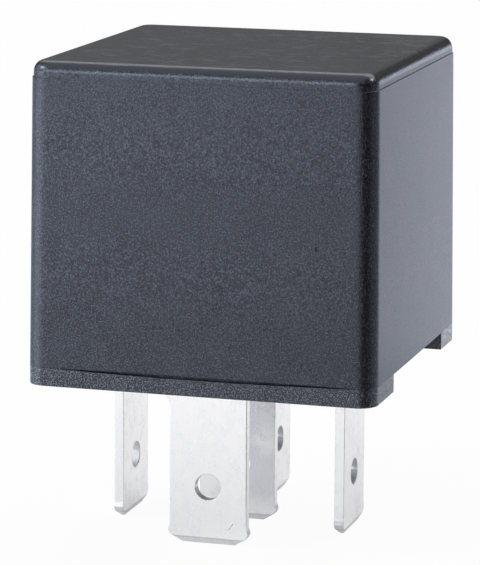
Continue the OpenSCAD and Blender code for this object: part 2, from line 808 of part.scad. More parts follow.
module moving_contact() {
    top_z = spring_z + spring_t;
    r = contact_d;
    color([0.82, 0.82, 0.8]) at_rest() translate([middle_x, contact_y, 0]) {
        intersection() {
            domed_head(spring_z, low_dome_z);
            span([-r, -r, spring_z - 2 * contact_t], [r, r, spring_z]);
        }
        intersection() {
            domed_head(top_z, high_dome_z);
            span([-r, -r, top_z], [r, r, top_z + 2 * contact_t]);
        }
        translate([0, 0, spring_z - eps]) cylinder(h = spring_t + 2 * eps, d = stem_d);
    }
}

module armature() {
    shoulder_y = leg_y - shoulder_gap;
    color([0.62, 0.63, 0.62]) at_rest() difference() {
        union() {
            span([-armature_w / 2, armature_front_y, hinge_z], [armature_w / 2, shoulder_y, spring_z]);
            span([-tail_w / 2, shoulder_y - eps, hinge_z], [tail_w / 2, hinge_y, spring_z]);
        }
        for (side = [-1, 1])
            translate([side * armature_rivet_x, armature_rivet_y, hinge_z - over])
                cylinder(h = armature_t + 2 * over, d = rivet_d);
    }
}

module armature_rivets() {
    color([0.75, 0.7, 0.55]) at_rest() for (side = [-1, 1])
        translate([side * armature_rivet_x, armature_rivet_y, hinge_z]) {
            cylinder(h = armature_t + spring_t + eps, d = rivet_d);
            translate([0, 0, armature_t + spring_t]) cylinder(h = rivet_head_t, d = rivet_head_d);
        }
}

module yoke_rivets() {
    color([0.75, 0.7, 0.55]) for (z = spring_rivet_z)
        translate([0, leg_y, z]) rotate([-90, 0, 0]) {
            cylinder(h = yoke_t + spring_t + eps, d = rivet_d);
            translate([0, 0, yoke_t + spring_t]) cylinder(h = rivet_head_t, d = rivet_head_d);
        }
}

// Middle line of the leaf spring in the YZ plane at rest: up the yoke's back,
// round the bend over the armature's tail and along the armature.
function turned(p) = [
    hinge_y + (p[0] - hinge_y) * cos(swing) + (p[1] - hinge_z) * sin(swing),
    hinge_z - (p[0] - hinge_y) * sin(swing) + (p[1] - hinge_z) * cos(swing)
];
function spring_path() = let (
    leg_line = leg_back_y + spring_t / 2,
    arm_line = spring_z + spring_t / 2,
    centre = [leg_line - spring_bend_r, arm_line + spring_hump]
) concat(
    [[leg_line, spring_low_z]],
    [for (step = [0 : bend_fn]) let (angle = spring_bend * step / bend_fn)
        centre + spring_bend_r * [cos(angle), sin(angle)]],
    [turned([centre[0] - spring_slope, arm_line]), turned([spring_front_y, arm_line])]
);

// Unit normal of the path at one point, from its neighbours.
function path_normal(path, i) = let (
    a = path[max(i - 1, 0)],
    b = path[min(i + 1, len(path) - 1)],
    d = (b - a) / norm(b - a)
) [-d[1], d[0]];

module leaf_spring() {
    path = spring_path();
    n = len(path);
    sides = concat(
        [for (i = [0 : n - 1]) path[i] + spring_t / 2 * path_normal(path, i)],
        [for (i = [n - 1 : -1 : 0]) path[i] - spring_t / 2 * path_normal(path, i)]
    );
    color([0.8, 0.62, 0.36]) difference() {
        rotate([90, 0, 90]) linear_extrude(height = spring_w, center = true) polygon(sides);
        for (z = spring_rivet_z)
            translate([0, leg_back_y - over, z]) rotate([-90, 0, 0]) cylinder(h = 2 * over, d = rivet_d);
        at_rest() {
            for (side = [-1, 1])
                translate([side * armature_rivet_x, armature_rivet_y, spring_z - over])
                    cylinder(h = 2 * over, d = rivet_d);
            stem_bore(spring_z);
        }
    }
}

base();
terminal_87();
terminal_87a();
terminal_30();
terminal_85();
terminal_86();
yoke();
bobbin();
coil_winding();
coil_tape();
core();
coil_lead_85();
coil_lead_86();
resistor_body();
resistor_wires();
normally_open_contact();
normally_closed_contact();
armature();
armature_rivets();
moving_contact();
leaf_spring();
yoke_rivets();
cover();
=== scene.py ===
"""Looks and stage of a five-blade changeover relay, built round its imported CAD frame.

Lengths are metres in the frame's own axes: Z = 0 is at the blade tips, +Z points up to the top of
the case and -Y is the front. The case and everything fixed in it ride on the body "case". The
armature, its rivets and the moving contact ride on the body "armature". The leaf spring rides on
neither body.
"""
import json
import math
from functools import cached_property

import bmesh
import bpy
import numpy as np
from bpy.props import FloatProperty, FloatVectorProperty, IntProperty, PointerProperty
from mathutils import Matrix, Vector


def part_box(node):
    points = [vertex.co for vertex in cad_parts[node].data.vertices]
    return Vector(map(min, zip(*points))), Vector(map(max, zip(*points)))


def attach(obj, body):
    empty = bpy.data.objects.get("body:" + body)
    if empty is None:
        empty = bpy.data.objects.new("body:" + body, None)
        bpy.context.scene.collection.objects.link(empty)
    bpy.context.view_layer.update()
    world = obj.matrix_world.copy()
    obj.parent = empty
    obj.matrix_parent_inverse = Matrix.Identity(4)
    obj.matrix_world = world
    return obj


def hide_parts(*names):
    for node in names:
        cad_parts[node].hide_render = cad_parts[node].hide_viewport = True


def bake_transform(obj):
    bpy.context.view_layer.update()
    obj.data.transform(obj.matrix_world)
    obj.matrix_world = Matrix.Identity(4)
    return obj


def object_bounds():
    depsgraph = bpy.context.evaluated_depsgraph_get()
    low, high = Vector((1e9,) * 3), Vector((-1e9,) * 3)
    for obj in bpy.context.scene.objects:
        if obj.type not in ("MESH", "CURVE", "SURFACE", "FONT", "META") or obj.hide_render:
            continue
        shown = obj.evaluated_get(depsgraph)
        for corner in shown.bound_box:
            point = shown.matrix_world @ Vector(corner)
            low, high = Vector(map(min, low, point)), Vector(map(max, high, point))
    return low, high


bl_info = {
    "name": "Five-blade relay",
    "version": (1, 0, 0),
    "blender": (4, 5, 0),
    "location": "3D View > Sidebar > Relay",
    "description": "Case, base, blades, magnet, contacts, spring and coil circuit of a plug-in relay",
    "category": "Add Mesh",
}

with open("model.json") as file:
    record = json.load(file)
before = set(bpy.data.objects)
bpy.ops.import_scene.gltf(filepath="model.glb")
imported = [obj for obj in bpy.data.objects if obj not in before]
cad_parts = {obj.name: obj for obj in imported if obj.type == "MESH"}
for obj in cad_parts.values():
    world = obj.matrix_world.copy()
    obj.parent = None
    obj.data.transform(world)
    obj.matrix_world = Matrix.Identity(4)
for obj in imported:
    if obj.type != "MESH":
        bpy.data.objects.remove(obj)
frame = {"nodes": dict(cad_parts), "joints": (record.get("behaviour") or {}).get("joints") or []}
CAD_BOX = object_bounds()

MM = 0.001
SAME_POINT = 1e-7             # points closer than this are one point
SCRATCH_SPOT = (1.6, 1.55)    # X and Z of the scratch on the front blade, in millimetres
BAND_PAINTS = ((0.20, 0.06, 0.02), (0.02, 0.02, 0.02), (0.45, 0.04, 0.02), (0.50, 0.36, 0.10))
ROCKER = frame["joints"][0]
HINGE = np.array(ROCKER["pos_m"], float)
SWING = math.radians(ROCKER["range_deg"][1])


# ---------- settings that a user would change ----------

def length(name, millimetres, description):
    """Property for a length, given in millimetres and kept in metres."""
    return FloatProperty(name=name, description=description, default=millimetres * MM,
                         min=0.0, precision=5, unit="LENGTH")


def share(name, value, description):
    """Property for a number from 0 to 1."""
    return FloatProperty(name=name, description=description, default=value, min=0.0, max=1.0,
                         subtype="FACTOR")


def colour(name, value, description):
    """Property for a colour."""
    return FloatVectorProperty(name=name, description=description, default=value, size=3,
                               min=0.0, max=1.0, subtype="COLOR")


def count(name, value, description):
    """Property for a whole number."""
    return IntProperty(name=name, description=description, default=value, min=1)


class RelayCase(bpy.types.PropertyGroup):
    """Sizes and finish of the moulded cover and base."""
    corner_r: length("Corner radius", 1.5, "Radius of the upright edges")
    top_r: length("Top radius", 0.9, "Radius round the top of the cover")
    rim_r: length("Rim radius", 0.12, "Radius of the cover's lower rim")
    wall: length("Wall", 1.1, "Thickness of the cover's sides at the seam")
    ceiling: length("Top thickness", 1.2, "Thickness of the cover's top")
    cavity_r: length("Inner corner radius", 1.2, "Radius of the upright edges inside the cover")
    ceiling_r: length("Ceiling radius", 0.4, "Radius between the inside walls and the ceiling")
    draft: length("Draft", 0.28, "How far each side leans in from the seam to the top")
    line_drop: length("Mould line drop", 1.3, "Distance of the mould line below the top")
    line_step: length("Mould step", 0.07, "Step in the sides at the mould line")
    line_r: length("Mould step radius", 0.03, "Rounding of the mould step")
    rim_sag: length("Rim sag", 0.13, "How far the rim's corners hang below its highest point in front")
    rim_lean: share("Rim lean", 0.14, "How far right of the middle the rim is highest, of half the width")
    base_edge: length("Base edge", 0.14, "Rounding of the base's edges")
    cover_tone: colour("Cover", (0.024, 0.0245, 0.030), "Colour of the cover's plastic")
    base_tone: colour("Base", (0.023, 0.0235, 0.029), "Colour of the base's plastic")
    fibre_tone: colour("Fibre", (0.26, 0.30, 0.36), "Colour of glass fibre at the surface")
    grain: share("Grain", 0.8, "Strength of the sandy grain")


class RelayBlades(bpy.types.PropertyGroup):
    """Edges and finish of the tinned blades."""
    edge: length("Edge", 0.045, "Rounding of the blades' pressed edges")
    tip: length("Tip", 0.5, "Height of the coined tips")
    tin: colour("Tin", (0.91, 0.912, 0.93), "Colour of the tin plating")
    dull: colour("Dull tin", (0.80, 0.81, 0.845), "Colour of the plating where it is dull")
    # This tone is wear on the scratch, and painted shade on the tips' crease line and on faces that tilt
    # from upright.
    worn_and_shaded: colour("Worn tin", (0.40, 0.40, 0.42), "Colour of the plating in creases and scratches")
    roughness: share("Roughness", 0.23, "Roughness of the plating")


class RelayMagnet(bpy.types.PropertyGroup):
    """Sizes and finish of the coil and its iron."""
    core_r: length("Core radius", 2.5, "Radius of the core's shank")
    core_rivet_r: length("Core rivet radius", 2.0, "Radius of the core's end in the yoke's foot")
    core_rim_r: length("Core rim radius", 2.6, "Radius of the core's riveted rim under the foot")
    bore_air: length("Bore air", 0.05, "Air between the core and the bobbin")
    tube_r: length("Tube radius", 3.3, "Radius of the bobbin's tube, which carries the winding")
    iron_edge: length("Iron edge", 0.12, "Rounding of the yoke's and armature's edges")
    turned_edge: length("Turned edge", 0.15, "Rounding of turned and moulded round parts")
    wire_d: length("Wire", 0.36, "Distance between the coil's visible turns")
    tape_lap: length("Tape lap", 0.08, "Step where the end of the tape laps over its start")
    iron: colour("Iron", (0.56, 0.57, 0.56), "Colour of the plated iron")
    copper: colour("Copper", (0.72, 0.27, 0.12), "Colour of the enamelled wire")
    bobbin: colour("Bobbin", (0.016, 0.016, 0.018), "Colour of the bobbin's plastic")
    tape: colour("Tape", (0.62, 0.36, 0.05), "Colour of the tape round the coil")


class RelayContacts(bpy.types.PropertyGroup):
    """Sizes and finish of the contacts, rivets and spring."""
    dome_r: length("Dome radius", 6.0, "Radius of the moving contact's domed faces")
    stem_d: length("Stem", 1.6, "Diameter of the contacts' stems and of the rivets' shanks")
    head_t: length("Head", 0.7, "Thickness of the fixed contacts' heads")
    edge: length("Edge", 0.12, "Rounding of the heads' rims")
    rivet_head_t: length("Rivet head", 0.45, "Thickness of the rivets' heads")
    spring_t: length("Spring", 0.25, "Thickness of the leaf spring")
    spring_bend_r: length("Spring bend", 0.9, "Radius of the spring's bend behind the armature")
    spring_hump: length("Spring hump", 0.35, "Height of the bend's centre above the spring's arm")
    spring_slope: length("Spring slope", 3.6, "Length of the slope from the bend to the arm")
    spring_end: length("Spring end", 0.4, "How far the spring reaches past the moving contact")
    silver: colour("Silver", (0.80, 0.79, 0.76), "Colour of the contacts")
    bronze: colour("Bronze", (0.70, 0.45, 0.22), "Colour of the spring")
    brass: colour("Brass", (0.66, 0.55, 0.33), "Colour of the rivets")


class RelayCircuit(bpy.types.PropertyGroup):
    """Sizes and finish of the resistor, the wires and their solder."""
    lead_d: length("Lead", 0.3, "Diameter of the coil's lead-out wires")
    lead_rise: length("Lead rise", 0.1, "How far the lead-out wires arch up in the middle")
    solder_d: length("Solder", 1.2, "Diameter of the coil's solder joints")
    wire_d: length("Resistor wire", 0.5, "Diameter of the resistor's wires")
    joint_d: length("Wire joint", 0.8, "Diameter of the solder on the resistor's wires")
    bend_r: length("Wire bend", 0.6, "Radius of the bend in the resistor's wires")
    waist: length("Waist", 0.16, "How far the resistor's middle is thinner than its ends")
    end_r: length("End radius", 0.5, "Rounding of the resistor's ends")
    end_l: length("End length", 1.3, "Length of the resistor's thick ends")
    wire_inset: length("Wire inset", 0.2, "How far the wires reach into the resistor")
    coat: colour("Coat", (0.07, 0.20, 0.33), "Colour of the resistor's lacquer")
    bands: count("Bands", 4, "Number of coloured bands on the resistor")


class RelayStage(bpy.types.PropertyGroup):
    """Floor, lamps and camera."""
    floor_size: length("Floor", 4000.0, "Side of the floor")
    floor_tone: colour("Floor tone", (0.90, 0.90, 0.90), "Colour of the floor")
    azimuth: FloatProperty(name="Azimuth", description="Camera's angle round the relay",
                           default=math.radians(16.497), subtype="ANGLE")
    elevation: FloatProperty(name="Elevation", description="Camera's angle above the horizon",
                             default=math.radians(11.03), subtype="ANGLE")
    roll: FloatProperty(name="Roll", description="Turn of the camera about its own axis",
                        default=math.radians(0.326), subtype="ANGLE")
    distance: length("Distance", 259.8, "Distance of the camera from the point it is aimed from")
    aside: length("Aside", 0.668, "How far the camera stands to the left of its axis")
    above: length("Above", 4.815, "How far the camera stands above its axis")
    lens: FloatProperty(name="Lens", description="Focal length on a 36 mm sensor",
                        default=205.08, min=1.0, unit="CAMERA")


# ---------- node trees written as expressions ----------

class Field:
    """A value that varies over a surface. Arithmetic on it adds Math nodes to its tree."""

    def __init__(self, tree, socket):
        self.tree = tree
        self.socket = socket

    def math(self, operation, *values):
        return self.tree.node("ShaderNodeMath", {"operation": operation}, dict(enumerate(values)))

    def __add__(self, other):
        return self.math("ADD", self, other)

    def __radd__(self, other):
        return self.math("ADD", other, self)

    def __sub__(self, other):
        return self.math("SUBTRACT", self, other)

    def __rsub__(self, other):
        return self.math("SUBTRACT", other, self)

    def __mul__(self, other):
        return self.math("MULTIPLY", self, other)

    def __rmul__(self, other):
        return self.math("MULTIPLY", other, self)

    def absolute(self):
        return self.math("ABSOLUTE", self)

    def between(self, low, high):
        """0 below low, 1 above high, and a smooth step from one to the other."""
        return self.tree.node("ShaderNodeMapRange", {"interpolation_type": "SMOOTHSTEP"},
                              {"Value": self, "From Min": low, "From Max": high})


class Tree:
    """The node tree of a material or a world, and the few nodes that its recipes use."""

    def __init__(self, owner):
        self.owner = owner
        owner.use_nodes = True
        self.tree = owner.node_tree
        self.tree.nodes.clear()

    def node(self, kind, settings=None, sockets=None, out=0):
        """Adds a node: first its settings, then its sockets' values or links. Gives one output."""
        made = self.tree.nodes.new(kind)
        for name, value in (settings or {}).items():
            setattr(made, name, value)
        for key, value in (sockets or {}).items():
            socket = made.inputs[key]
            if isinstance(value, Field):
                self.tree.links.new(value.socket, socket)
            elif socket.type == "RGBA":
                socket.default_value = (*value[:3], 1.0)
            else:
                socket.default_value = value
        return Field(self, made.outputs[out]) if len(made.outputs) else None

    def vector_math(self, operation, first, second):
        """Vector Math of two vectors or colours, or of one and the number that scales it."""
        key = "Scale" if operation == "SCALE" else 1
        return self.node("ShaderNodeVectorMath", {"operation": operation}, {0: first, key: second})

    def axis(self, vector, name):
        """One axis of a vector: X, Y or Z."""
        return self.node("ShaderNodeSeparateXYZ", sockets={0: vector}, out=name)

    @cached_property
    def place(self):
        """Object coordinates in millimetres."""
        return self.vector_math("SCALE", self.node("ShaderNodeTexCoord", out="Object"), 1 / MM)

    @cached_property
    def rise(self):
        """How far the surface faces up: 1 where it is level, 0 where upright, -1 underneath."""
        return self.axis(self.node("ShaderNodeTexCoord", out="Normal"), "Z")

    def stretched(self, scale):
        """The place multiplied axis by axis."""
        return self.vector_math("MULTIPLY", self.place, scale)

    def noise(self, scale, detail=2.0, roughness=0.5, stretch=(1, 1, 1)):
        """Cloudy noise from 0 to 1, with scale features in a millimetre before it is stretched."""
        return self.node("ShaderNodeTexNoise", sockets={
            "Vector": self.stretched(stretch), "Scale": scale, "Detail": detail,
            "Roughness": roughness})

    def specks(self, scale, part, size, stretch):
        """Round specks: 1 at the middle of a random part of the cells, 0 past size."""
        sockets = {"Vector": self.stretched(stretch), "Scale": scale}
        near = self.node("ShaderNodeTexVoronoi", sockets=sockets, out="Distance")
        chance = self.node("ShaderNodeTexVoronoi", sockets=sockets, out="Color")
        picked = self.axis(chance, "X").between(1 - part, 1 - part + 0.04)
        return (1 - near.between(size * 0.4, size)) * picked

    def mix(self, first, second, factor):
        """Mixes two colours."""
        return self.node("ShaderNodeMix", {"data_type": "RGBA"}, {0: factor, 6: first, 7: second},
                         out=2)

    def bump(self, height, depth, strength=1.0):
        """Bump from a height of 0 to 1 over a depth in metres."""
        return self.node("ShaderNodeBump", sockets={
            "Height": height, "Distance": depth, "Strength": strength})

    def finish(self, sockets):
        """Ends the tree in one Principled shader and gives its material."""
        shader = self.node("ShaderNodeBsdfPrincipled", sockets=sockets)
        self.node("ShaderNodeOutputMaterial", sockets={"Surface": shader})
        return self.owner


def new_tree(name):
    """The empty node tree of a new material."""
    return Tree(bpy.data.materials.new(name))


def shade(tone, factor):
    """A tone made lighter or darker."""
    return tuple(factor * c for c in tone)


# ---------- materials ----------

def moulded_plastic(name, tone, case, grains, coverage, sparkle):
    """Glass-filled black plastic. Its sides are sandy, with so many grains in a millimetre: the resin
    between them hardly shines, and bright fibre ends shine over part of the face, more with more
    sparkle. Its top is smoother, with strokes where the melt ran. What shines less is mixed
    towards a black metal, which keeps the sheen at a low angle."""
    tree = new_tree(name)
    top = tree.rise.between(0.80, 0.97)
    side = 1 - tree.rise.between(0.25, 0.60)
    upright = 1 - tree.rise.between(0.02, 0.10)
    sand = tree.noise(grains, 2.0, 0.6)
    clouds = tree.noise(0.35, 3.0, 0.6)
    ends = tree.noise(1.2 * grains, 0.0, stretch=(1.1, 1.1, 0.9))
    ends = ends.between(0.66 - coverage, 0.84 - coverage)
    pits = tree.specks(0.42, 0.10, 0.07, (1.0, 1.0, 0.7))
    strokes = tree.noise(1.3, 2.0, 0.5, (0.5, 0.9, 1.0)).between(0.54, 0.70)
    fine = tree.noise(5.0, 1.0, stretch=(1.0, 0.3, 1.0))
    dull = 0.54 + 1.5 * (0.5 - sand) + 0.3 * (0.5 - clouds)
    return tree.finish({
        "Base Color": tree.mix(tone, case.fibre_tone, ends * side * (0.03 + 0.19 * sparkle)
                               + fine.between(0.5, 0.8) * top * 0.02),
        "Roughness": 0.24 + (0.10 + 0.06 * sand) * upright + (0.16 * fine + 0.10 * strokes) * top,
        "Metallic": (dull * (1 - ends) + 0.6 * pits) * side,
        "Coat Weight": ends * side * sparkle,
        "Coat Roughness": 0.25,
        "IOR": 1.8,
        "Specular Tint": (0.70, 0.82, 1.0),
        "Normal": tree.bump((sand + ends) * side + (1.2 * fine - 1.5 * strokes) * top - pits,
                            0.014 * MM, case.grain),
    })


def tin_plate(look):
    """Matte tin over brass strip: drawn lengthways, mottled where it has dulled, rougher on faces that
    tilt from upright, such as the tips shaped by coining, with one short slanting scratch near the
    front blade's tip. Painted shade darkens the colour of those tilted faces, and a thin line of
    painted shade runs along the crease at the tips' height."""
    tree = new_tree("tin_plate")
    drawn = tree.noise(2.6, 4.0, 0.65, (3.2, 3.2, 0.22))
    mottle = tree.noise(0.9, 4.0, 0.62)
    grain = tree.noise(9.0, 2.0, 0.6)
    x, y, z = (tree.axis(tree.place, name) for name in "XYZ")
    front = node_box("terminal_87")[0][1] / MM
    from_x, from_z = x - SCRATCH_SPOT[0], z - SCRATCH_SPOT[1]
    across = (from_x * 0.83 - from_z * 0.56).absolute()
    along = (from_x * 0.56 + from_z * 0.83).absolute()
    scratch = (1 - across.between(0.01, 0.06)) * (1 - along.between(0.25, 0.42))
    scratch = scratch * (1 - y.between(front + 0.3, front + 0.5))
    dulled = (mottle * 0.7 + drawn * 0.3).between(0.44, 0.70)
    # Painted shade: a thin dark line in the colour along the crease at the tips' height, where the tip
    # slopes start.
    crease_shade_line = 1 - (z - look.tip / MM).absolute().between(0.02, 0.08)
    # Faces that tilt from upright: rougher, and darkened in the colour below with painted shade.
    sloped_rough_and_shaded = tree.rise.absolute().between(0.05, 0.16)
    plate = tree.mix(look.tin, look.dull, dulled)
    return tree.finish({
        # The darker tone marks the real scratch, and is painted shade on the crease line and the tilted
        # faces.
        "Base Color": tree.mix(plate, look.worn_and_shaded, scratch * 0.8 + crease_shade_line * 0.35 + sloped_rough_and_shaded * 0.45),
        "Metallic": 1.0,
        "Roughness": look.roughness + 0.10 * dulled + 0.08 * (grain - 0.5) + 0.35 * sloped_rough_and_shaded,
        "Normal": tree.bump(grain * 0.5 + drawn * 0.4 + mottle * 0.5 - scratch, 0.010 * MM, 0.5),
    })


def plated_iron(look):
    """Zinc-plated iron, rolled along the frame's Y axis, with a faint crystal mottle."""
    tree = new_tree("plated_iron")
    mottle = tree.noise(1.3, 3.0, 0.6)
    return tree.finish({
        "Base Color": tree.mix(look.iron, shade(look.iron, 0.72), mottle.between(0.4, 0.7)),
        "Metallic": 1.0,
        "Roughness": 0.36 + 0.18 * mottle,
        "Normal": tree.bump(tree.noise(1.8, 4.0, 0.6, (4.0, 0.3, 4.0)), 0.012 * MM, 0.6),
    })


def enamelled_copper(look):
    """Copper wire under clear enamel, a little darker here and there."""
    tree = new_tree("enamelled_copper")
    fine = tree.noise(8.0)
    dark = tree.noise(0.8, 3.0).between(0.4, 0.8)
    return tree.finish({
        "Base Color": tree.mix(look.copper, shade(look.copper, 0.5), dark),
        "Metallic": 1.0,
        "Roughness": 0.24 + 0.12 * fine,
        "Coat Weight": 0.7,
        "Coat Roughness": 0.12,
        "Normal": tree.bump(fine, 0.004 * MM, 0.4),
    })


def smooth_plastic(name, tone, second, grain, roughness, depth):
    """Plain plastic or film. A grain, given as a noise, mixes in a second tone, adds to the
    roughness, given as its least and what the grain adds, and wrinkles the face."""
    tree = new_tree(name)
    grain = tree.noise(*grain)
    return tree.finish({
        "Base Color": tree.mix(tone, second, grain),
        "Roughness": roughness[0] + roughness[1] * grain,
        "Normal": tree.bump(grain, depth, 0.5),
    })


def worked_metal(name, tone, streaks, roughness, depth):
    """Bare metal with the lines left by rolling or turning. Streaks stretches them axis by axis."""
    tree = new_tree(name)
    lines = tree.noise(3.0, 4.0, 0.6, streaks)
    tarnish = tree.noise(0.9, 3.0).between(0.45, 0.75)
    return tree.finish({
        "Base Color": tree.mix(tone, shade(tone, 0.6), tarnish * 0.6),
        "Metallic": 1.0,
        "Roughness": roughness + 0.15 * lines,
        "Normal": tree.bump(lines, depth, 0.6),
    })


def banded_lacquer(look, low_x, high_x):
    """Matte lacquer with evenly spaced painted bands round it."""
    tree = new_tree("banded_lacquer")
    along = tree.axis(tree.place, "X")
    cloud = tree.noise(2.0, 3.0)
    paint = tree.mix(look.coat, shade(look.coat, 0.7), cloud)
    span = (high_x - low_x) / MM
    for number in range(look.bands):
        middle = low_x / MM + span * (number + 1) / (look.bands + 1)
        band = 1 - (along - middle).absolute().between(0.28, 0.34)
        paint = tree.mix(paint, BAND_PAINTS[number % len(BAND_PAINTS)], band)
    return tree.finish({
        "Base Color": paint,
        "Roughness": 0.45 + 0.15 * cloud,
        "Coat Weight": 0.25,
        "Normal": tree.bump(cloud, 0.02 * MM, 0.4),
    })


# ---------- outlines ----------

def arc(centre, radius, start, stop, steps):
    """Points on a circle from angle start to angle stop: centre plus radius times cosine and sine."""
    angle = np.linspace(start, stop, steps + 1)
    return np.asarray(centre) + radius * np.stack([np.cos(angle), np.sin(angle)], -1)


def rounded_line(corners, steps=5, guard=0.1 * MM, closed=False):
    """Outline through corners (x, y, radius). A corner with a radius becomes an arc that touches
    both its lines, and a guard point on each line beside it keeps the flat stretch flat."""
    spots = np.array([c[:2] for c in corners], float)
    line, last = [], len(corners) - 1
    for i, (x, y, radius) in enumerate(corners):
        if radius <= 0 or (not closed and i in (0, last)):
            line.append([[x, y]])
            continue
        before, after = spots[i - 1] - spots[i], spots[(i + 1) % len(spots)] - spots[i]
        room = 0.9 * min(np.linalg.norm(before), np.linalg.norm(after))
        before, after = before / np.linalg.norm(before), after / np.linalg.norm(after)
        half = math.acos(np.clip(before @ after, -1, 1)) / 2
        reach = min(radius / math.tan(half), room)
        radius = reach * math.tan(half)
        middle = (before + after) / np.linalg.norm(before + after)
        centre = spots[i] + middle * radius / math.sin(half)
        start = spots[i] + before * reach - centre
        stop = spots[i] + after * reach - centre
        turn = math.atan2(start[0] * stop[1] - start[1] * stop[0], start @ stop)
        first = math.atan2(start[1], start[0])
        margin = min(guard, 0.5 * (room - reach) + 1e-9)
        line.append([spots[i] + before * (reach + margin)])
        line.append(arc(centre, radius, first, first + turn, steps))
        line.append([spots[i] + after * (reach + margin)])
    return np.concatenate(line)


def ring_of_corners(arc_steps=8, side=(0.012, *np.linspace(0.06, 0.94, 11), 0.988)):
    """Columns of a rounded square: for each, the sign of its corner's centre and the direction from
    that centre. A place on a square of half width h and radius r is (h - r) * sign + r * direction."""
    signs = np.array([[1, -1], [1, 1], [-1, 1], [-1, -1]], float)
    blend = np.array(side)[:, None]
    sign_rows, direction_rows = [], []
    for k in range(4):
        start = math.radians(90 * k - 90)
        turn = arc((0, 0), 1, start, start + math.pi / 2, arc_steps)
        sign_rows += [np.repeat(signs[k][None], len(turn), 0),
                      (1 - blend) * signs[k] + blend * signs[(k + 1) % 4]]
        direction_rows += [turn, np.repeat(turn[-1][None], len(side), 0)]
    return np.concatenate(sign_rows), np.concatenate(direction_rows)


# ---------- surfaces ----------

def lathe(profile, columns=48):
    """Surface turned about Z: a profile point (r, z) at angle a is at (r cos a, r sin a, z)."""
    r, z = np.asarray(profile, float).T
    angle = np.linspace(0, 2 * math.pi, columns, endpoint=False)
    return np.stack([r[:, None] * np.cos(angle), r[:, None] * np.sin(angle),
                     np.broadcast_to(z[:, None], (len(r), columns))], -1)


def tube(path, radius, sides=12):
    """Round wire: at each point of the path, a circle of the given radius square to the path. Its
    two directions are the cross products of the tangent with a fixed vector that no stretch of the
    path follows. Both ends close in a point."""
    path = np.asarray(path, float)
    tangent = np.gradient(path, axis=0)
    tangent /= np.linalg.norm(tangent, axis=1, keepdims=True)
    across = np.cross(tangent, [0.31, 0.27, 0.91])
    across /= np.linalg.norm(across, axis=1, keepdims=True)
    other = np.cross(tangent, across)
    angle = np.linspace(0, 2 * math.pi, sides, endpoint=False)[:, None]
    circle = np.cos(angle) * across[:, None] + np.sin(angle) * other[:, None]
    rings = path[:, None] + radius * circle
    ends = [np.repeat(path[k][None, None], sides, 1) for k in (0, -1)]
    return np.concatenate([ends[0], rings, ends[1]])


def swept_strip(path, section):
    """Flat strip: section points (u, v) carried along a path in the YZ plane, u along X and v along
    the path's normal. Both ends close in a line."""
    tangent = np.gradient(path, axis=0)
    tangent /= np.linalg.norm(tangent, axis=1, keepdims=True)
    normal = np.stack([-tangent[:, 1], tangent[:, 0]], -1)
    u, v = section.T
    flat = path[:, None] + v[:, None] * normal[:, None]
    rings = np.concatenate([np.broadcast_to(u[:, None], (len(path), len(u), 1)), flat], -1)
    ends = [rings[k].mean(0, keepdims=True).repeat(len(u), 0)[None] for k in (0, -1)]
    return np.concatenate([ends[0], rings, ends[1]])


def rounded_path(corners, radius, steps=8, spacing=0.4 * MM):
    """3-D path of straight stretches joined by bends: at each inner corner, a quadratic curve from
    radius before the corner to radius after it."""
    corners = np.asarray(corners, float)
    line = [corners[:1]]
    for before, here, after in zip(corners[:-2], corners[1:-1], corners[2:]):
        start = here + radius * (before - here) / np.linalg.norm(before - here)
        stop = here + radius * (after - here) / np.linalg.norm(after - here)
        t = np.linspace(0, 1, steps + 1)[:, None]
        line.append((1 - t) ** 2 * start + 2 * t * (1 - t) * here + t ** 2 * stop)
    line = np.concatenate(line + [corners[-1:]])
    reach = np.concatenate([[0], np.cumsum(np.linalg.norm(np.diff(line, axis=0), axis=1))])
    even = np.linspace(0, reach[-1], max(4, int(reach[-1] / spacing)))
    even = np.unique(np.concatenate([even, reach[1:-1]]))
    even = even[np.concatenate([[True], np.diff(even) > spacing / 20])]
    return np.stack([np.interp(even, reach, line[:, k]) for k in range(3)], -1)


def along_axis(points, origin, axis):
    """Turns points made about Z so that Z follows axis, and moves their zero to origin."""
    turn = np.array(Vector((0, 0, 1)).rotation_difference(Vector(axis)).to_matrix())
    return points @ turn.T + np.asarray(origin)


def rocked(points, angle=-SWING):
    """Turns points about the armature's hinge, which runs along X: from pulled in to rest."""
    cos, sin = math.cos(angle), math.sin(angle)
    turn = np.array([[1, 0, 0], [0, cos, -sin], [0, sin, cos]])
    return (points - HINGE) @ turn.T + HINGE


def pulled_in_box(node):
    """Lowest and highest corner of a node of the armature's group, turned to its pulled-in place."""
    mesh = frame["nodes"][node].data
    points = np.empty(3 * len(mesh.vertices), np.float32)
    mesh.vertices.foreach_get("co", points)
    points = rocked(points.reshape(-1, 3).astype(float), SWING)
    return points.min(0), points.max(0)


def node_box(node):
    """Lowest and highest corner of a node at rest, as arrays."""
    low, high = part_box(node)
    return np.array(low), np.array(high)


# ---------- from points to pieces ----------

def grid_quads(rows, columns, ring_rows, ring_columns):
    """Corner numbers of a grid's quads. A ring joins its last row or column to its first."""
    row = np.arange(rows if ring_rows else rows - 1)[:, None]
    column = np.arange(columns if ring_columns else columns - 1)[None, :]
    next_row, next_column = (row + 1) % rows, (column + 1) % columns
    corners = (row * columns + column, row * columns + next_column,
               next_row * columns + next_column, next_row * columns + column)
    return np.stack(np.broadcast_arrays(*corners), -1).reshape(-1, 4)


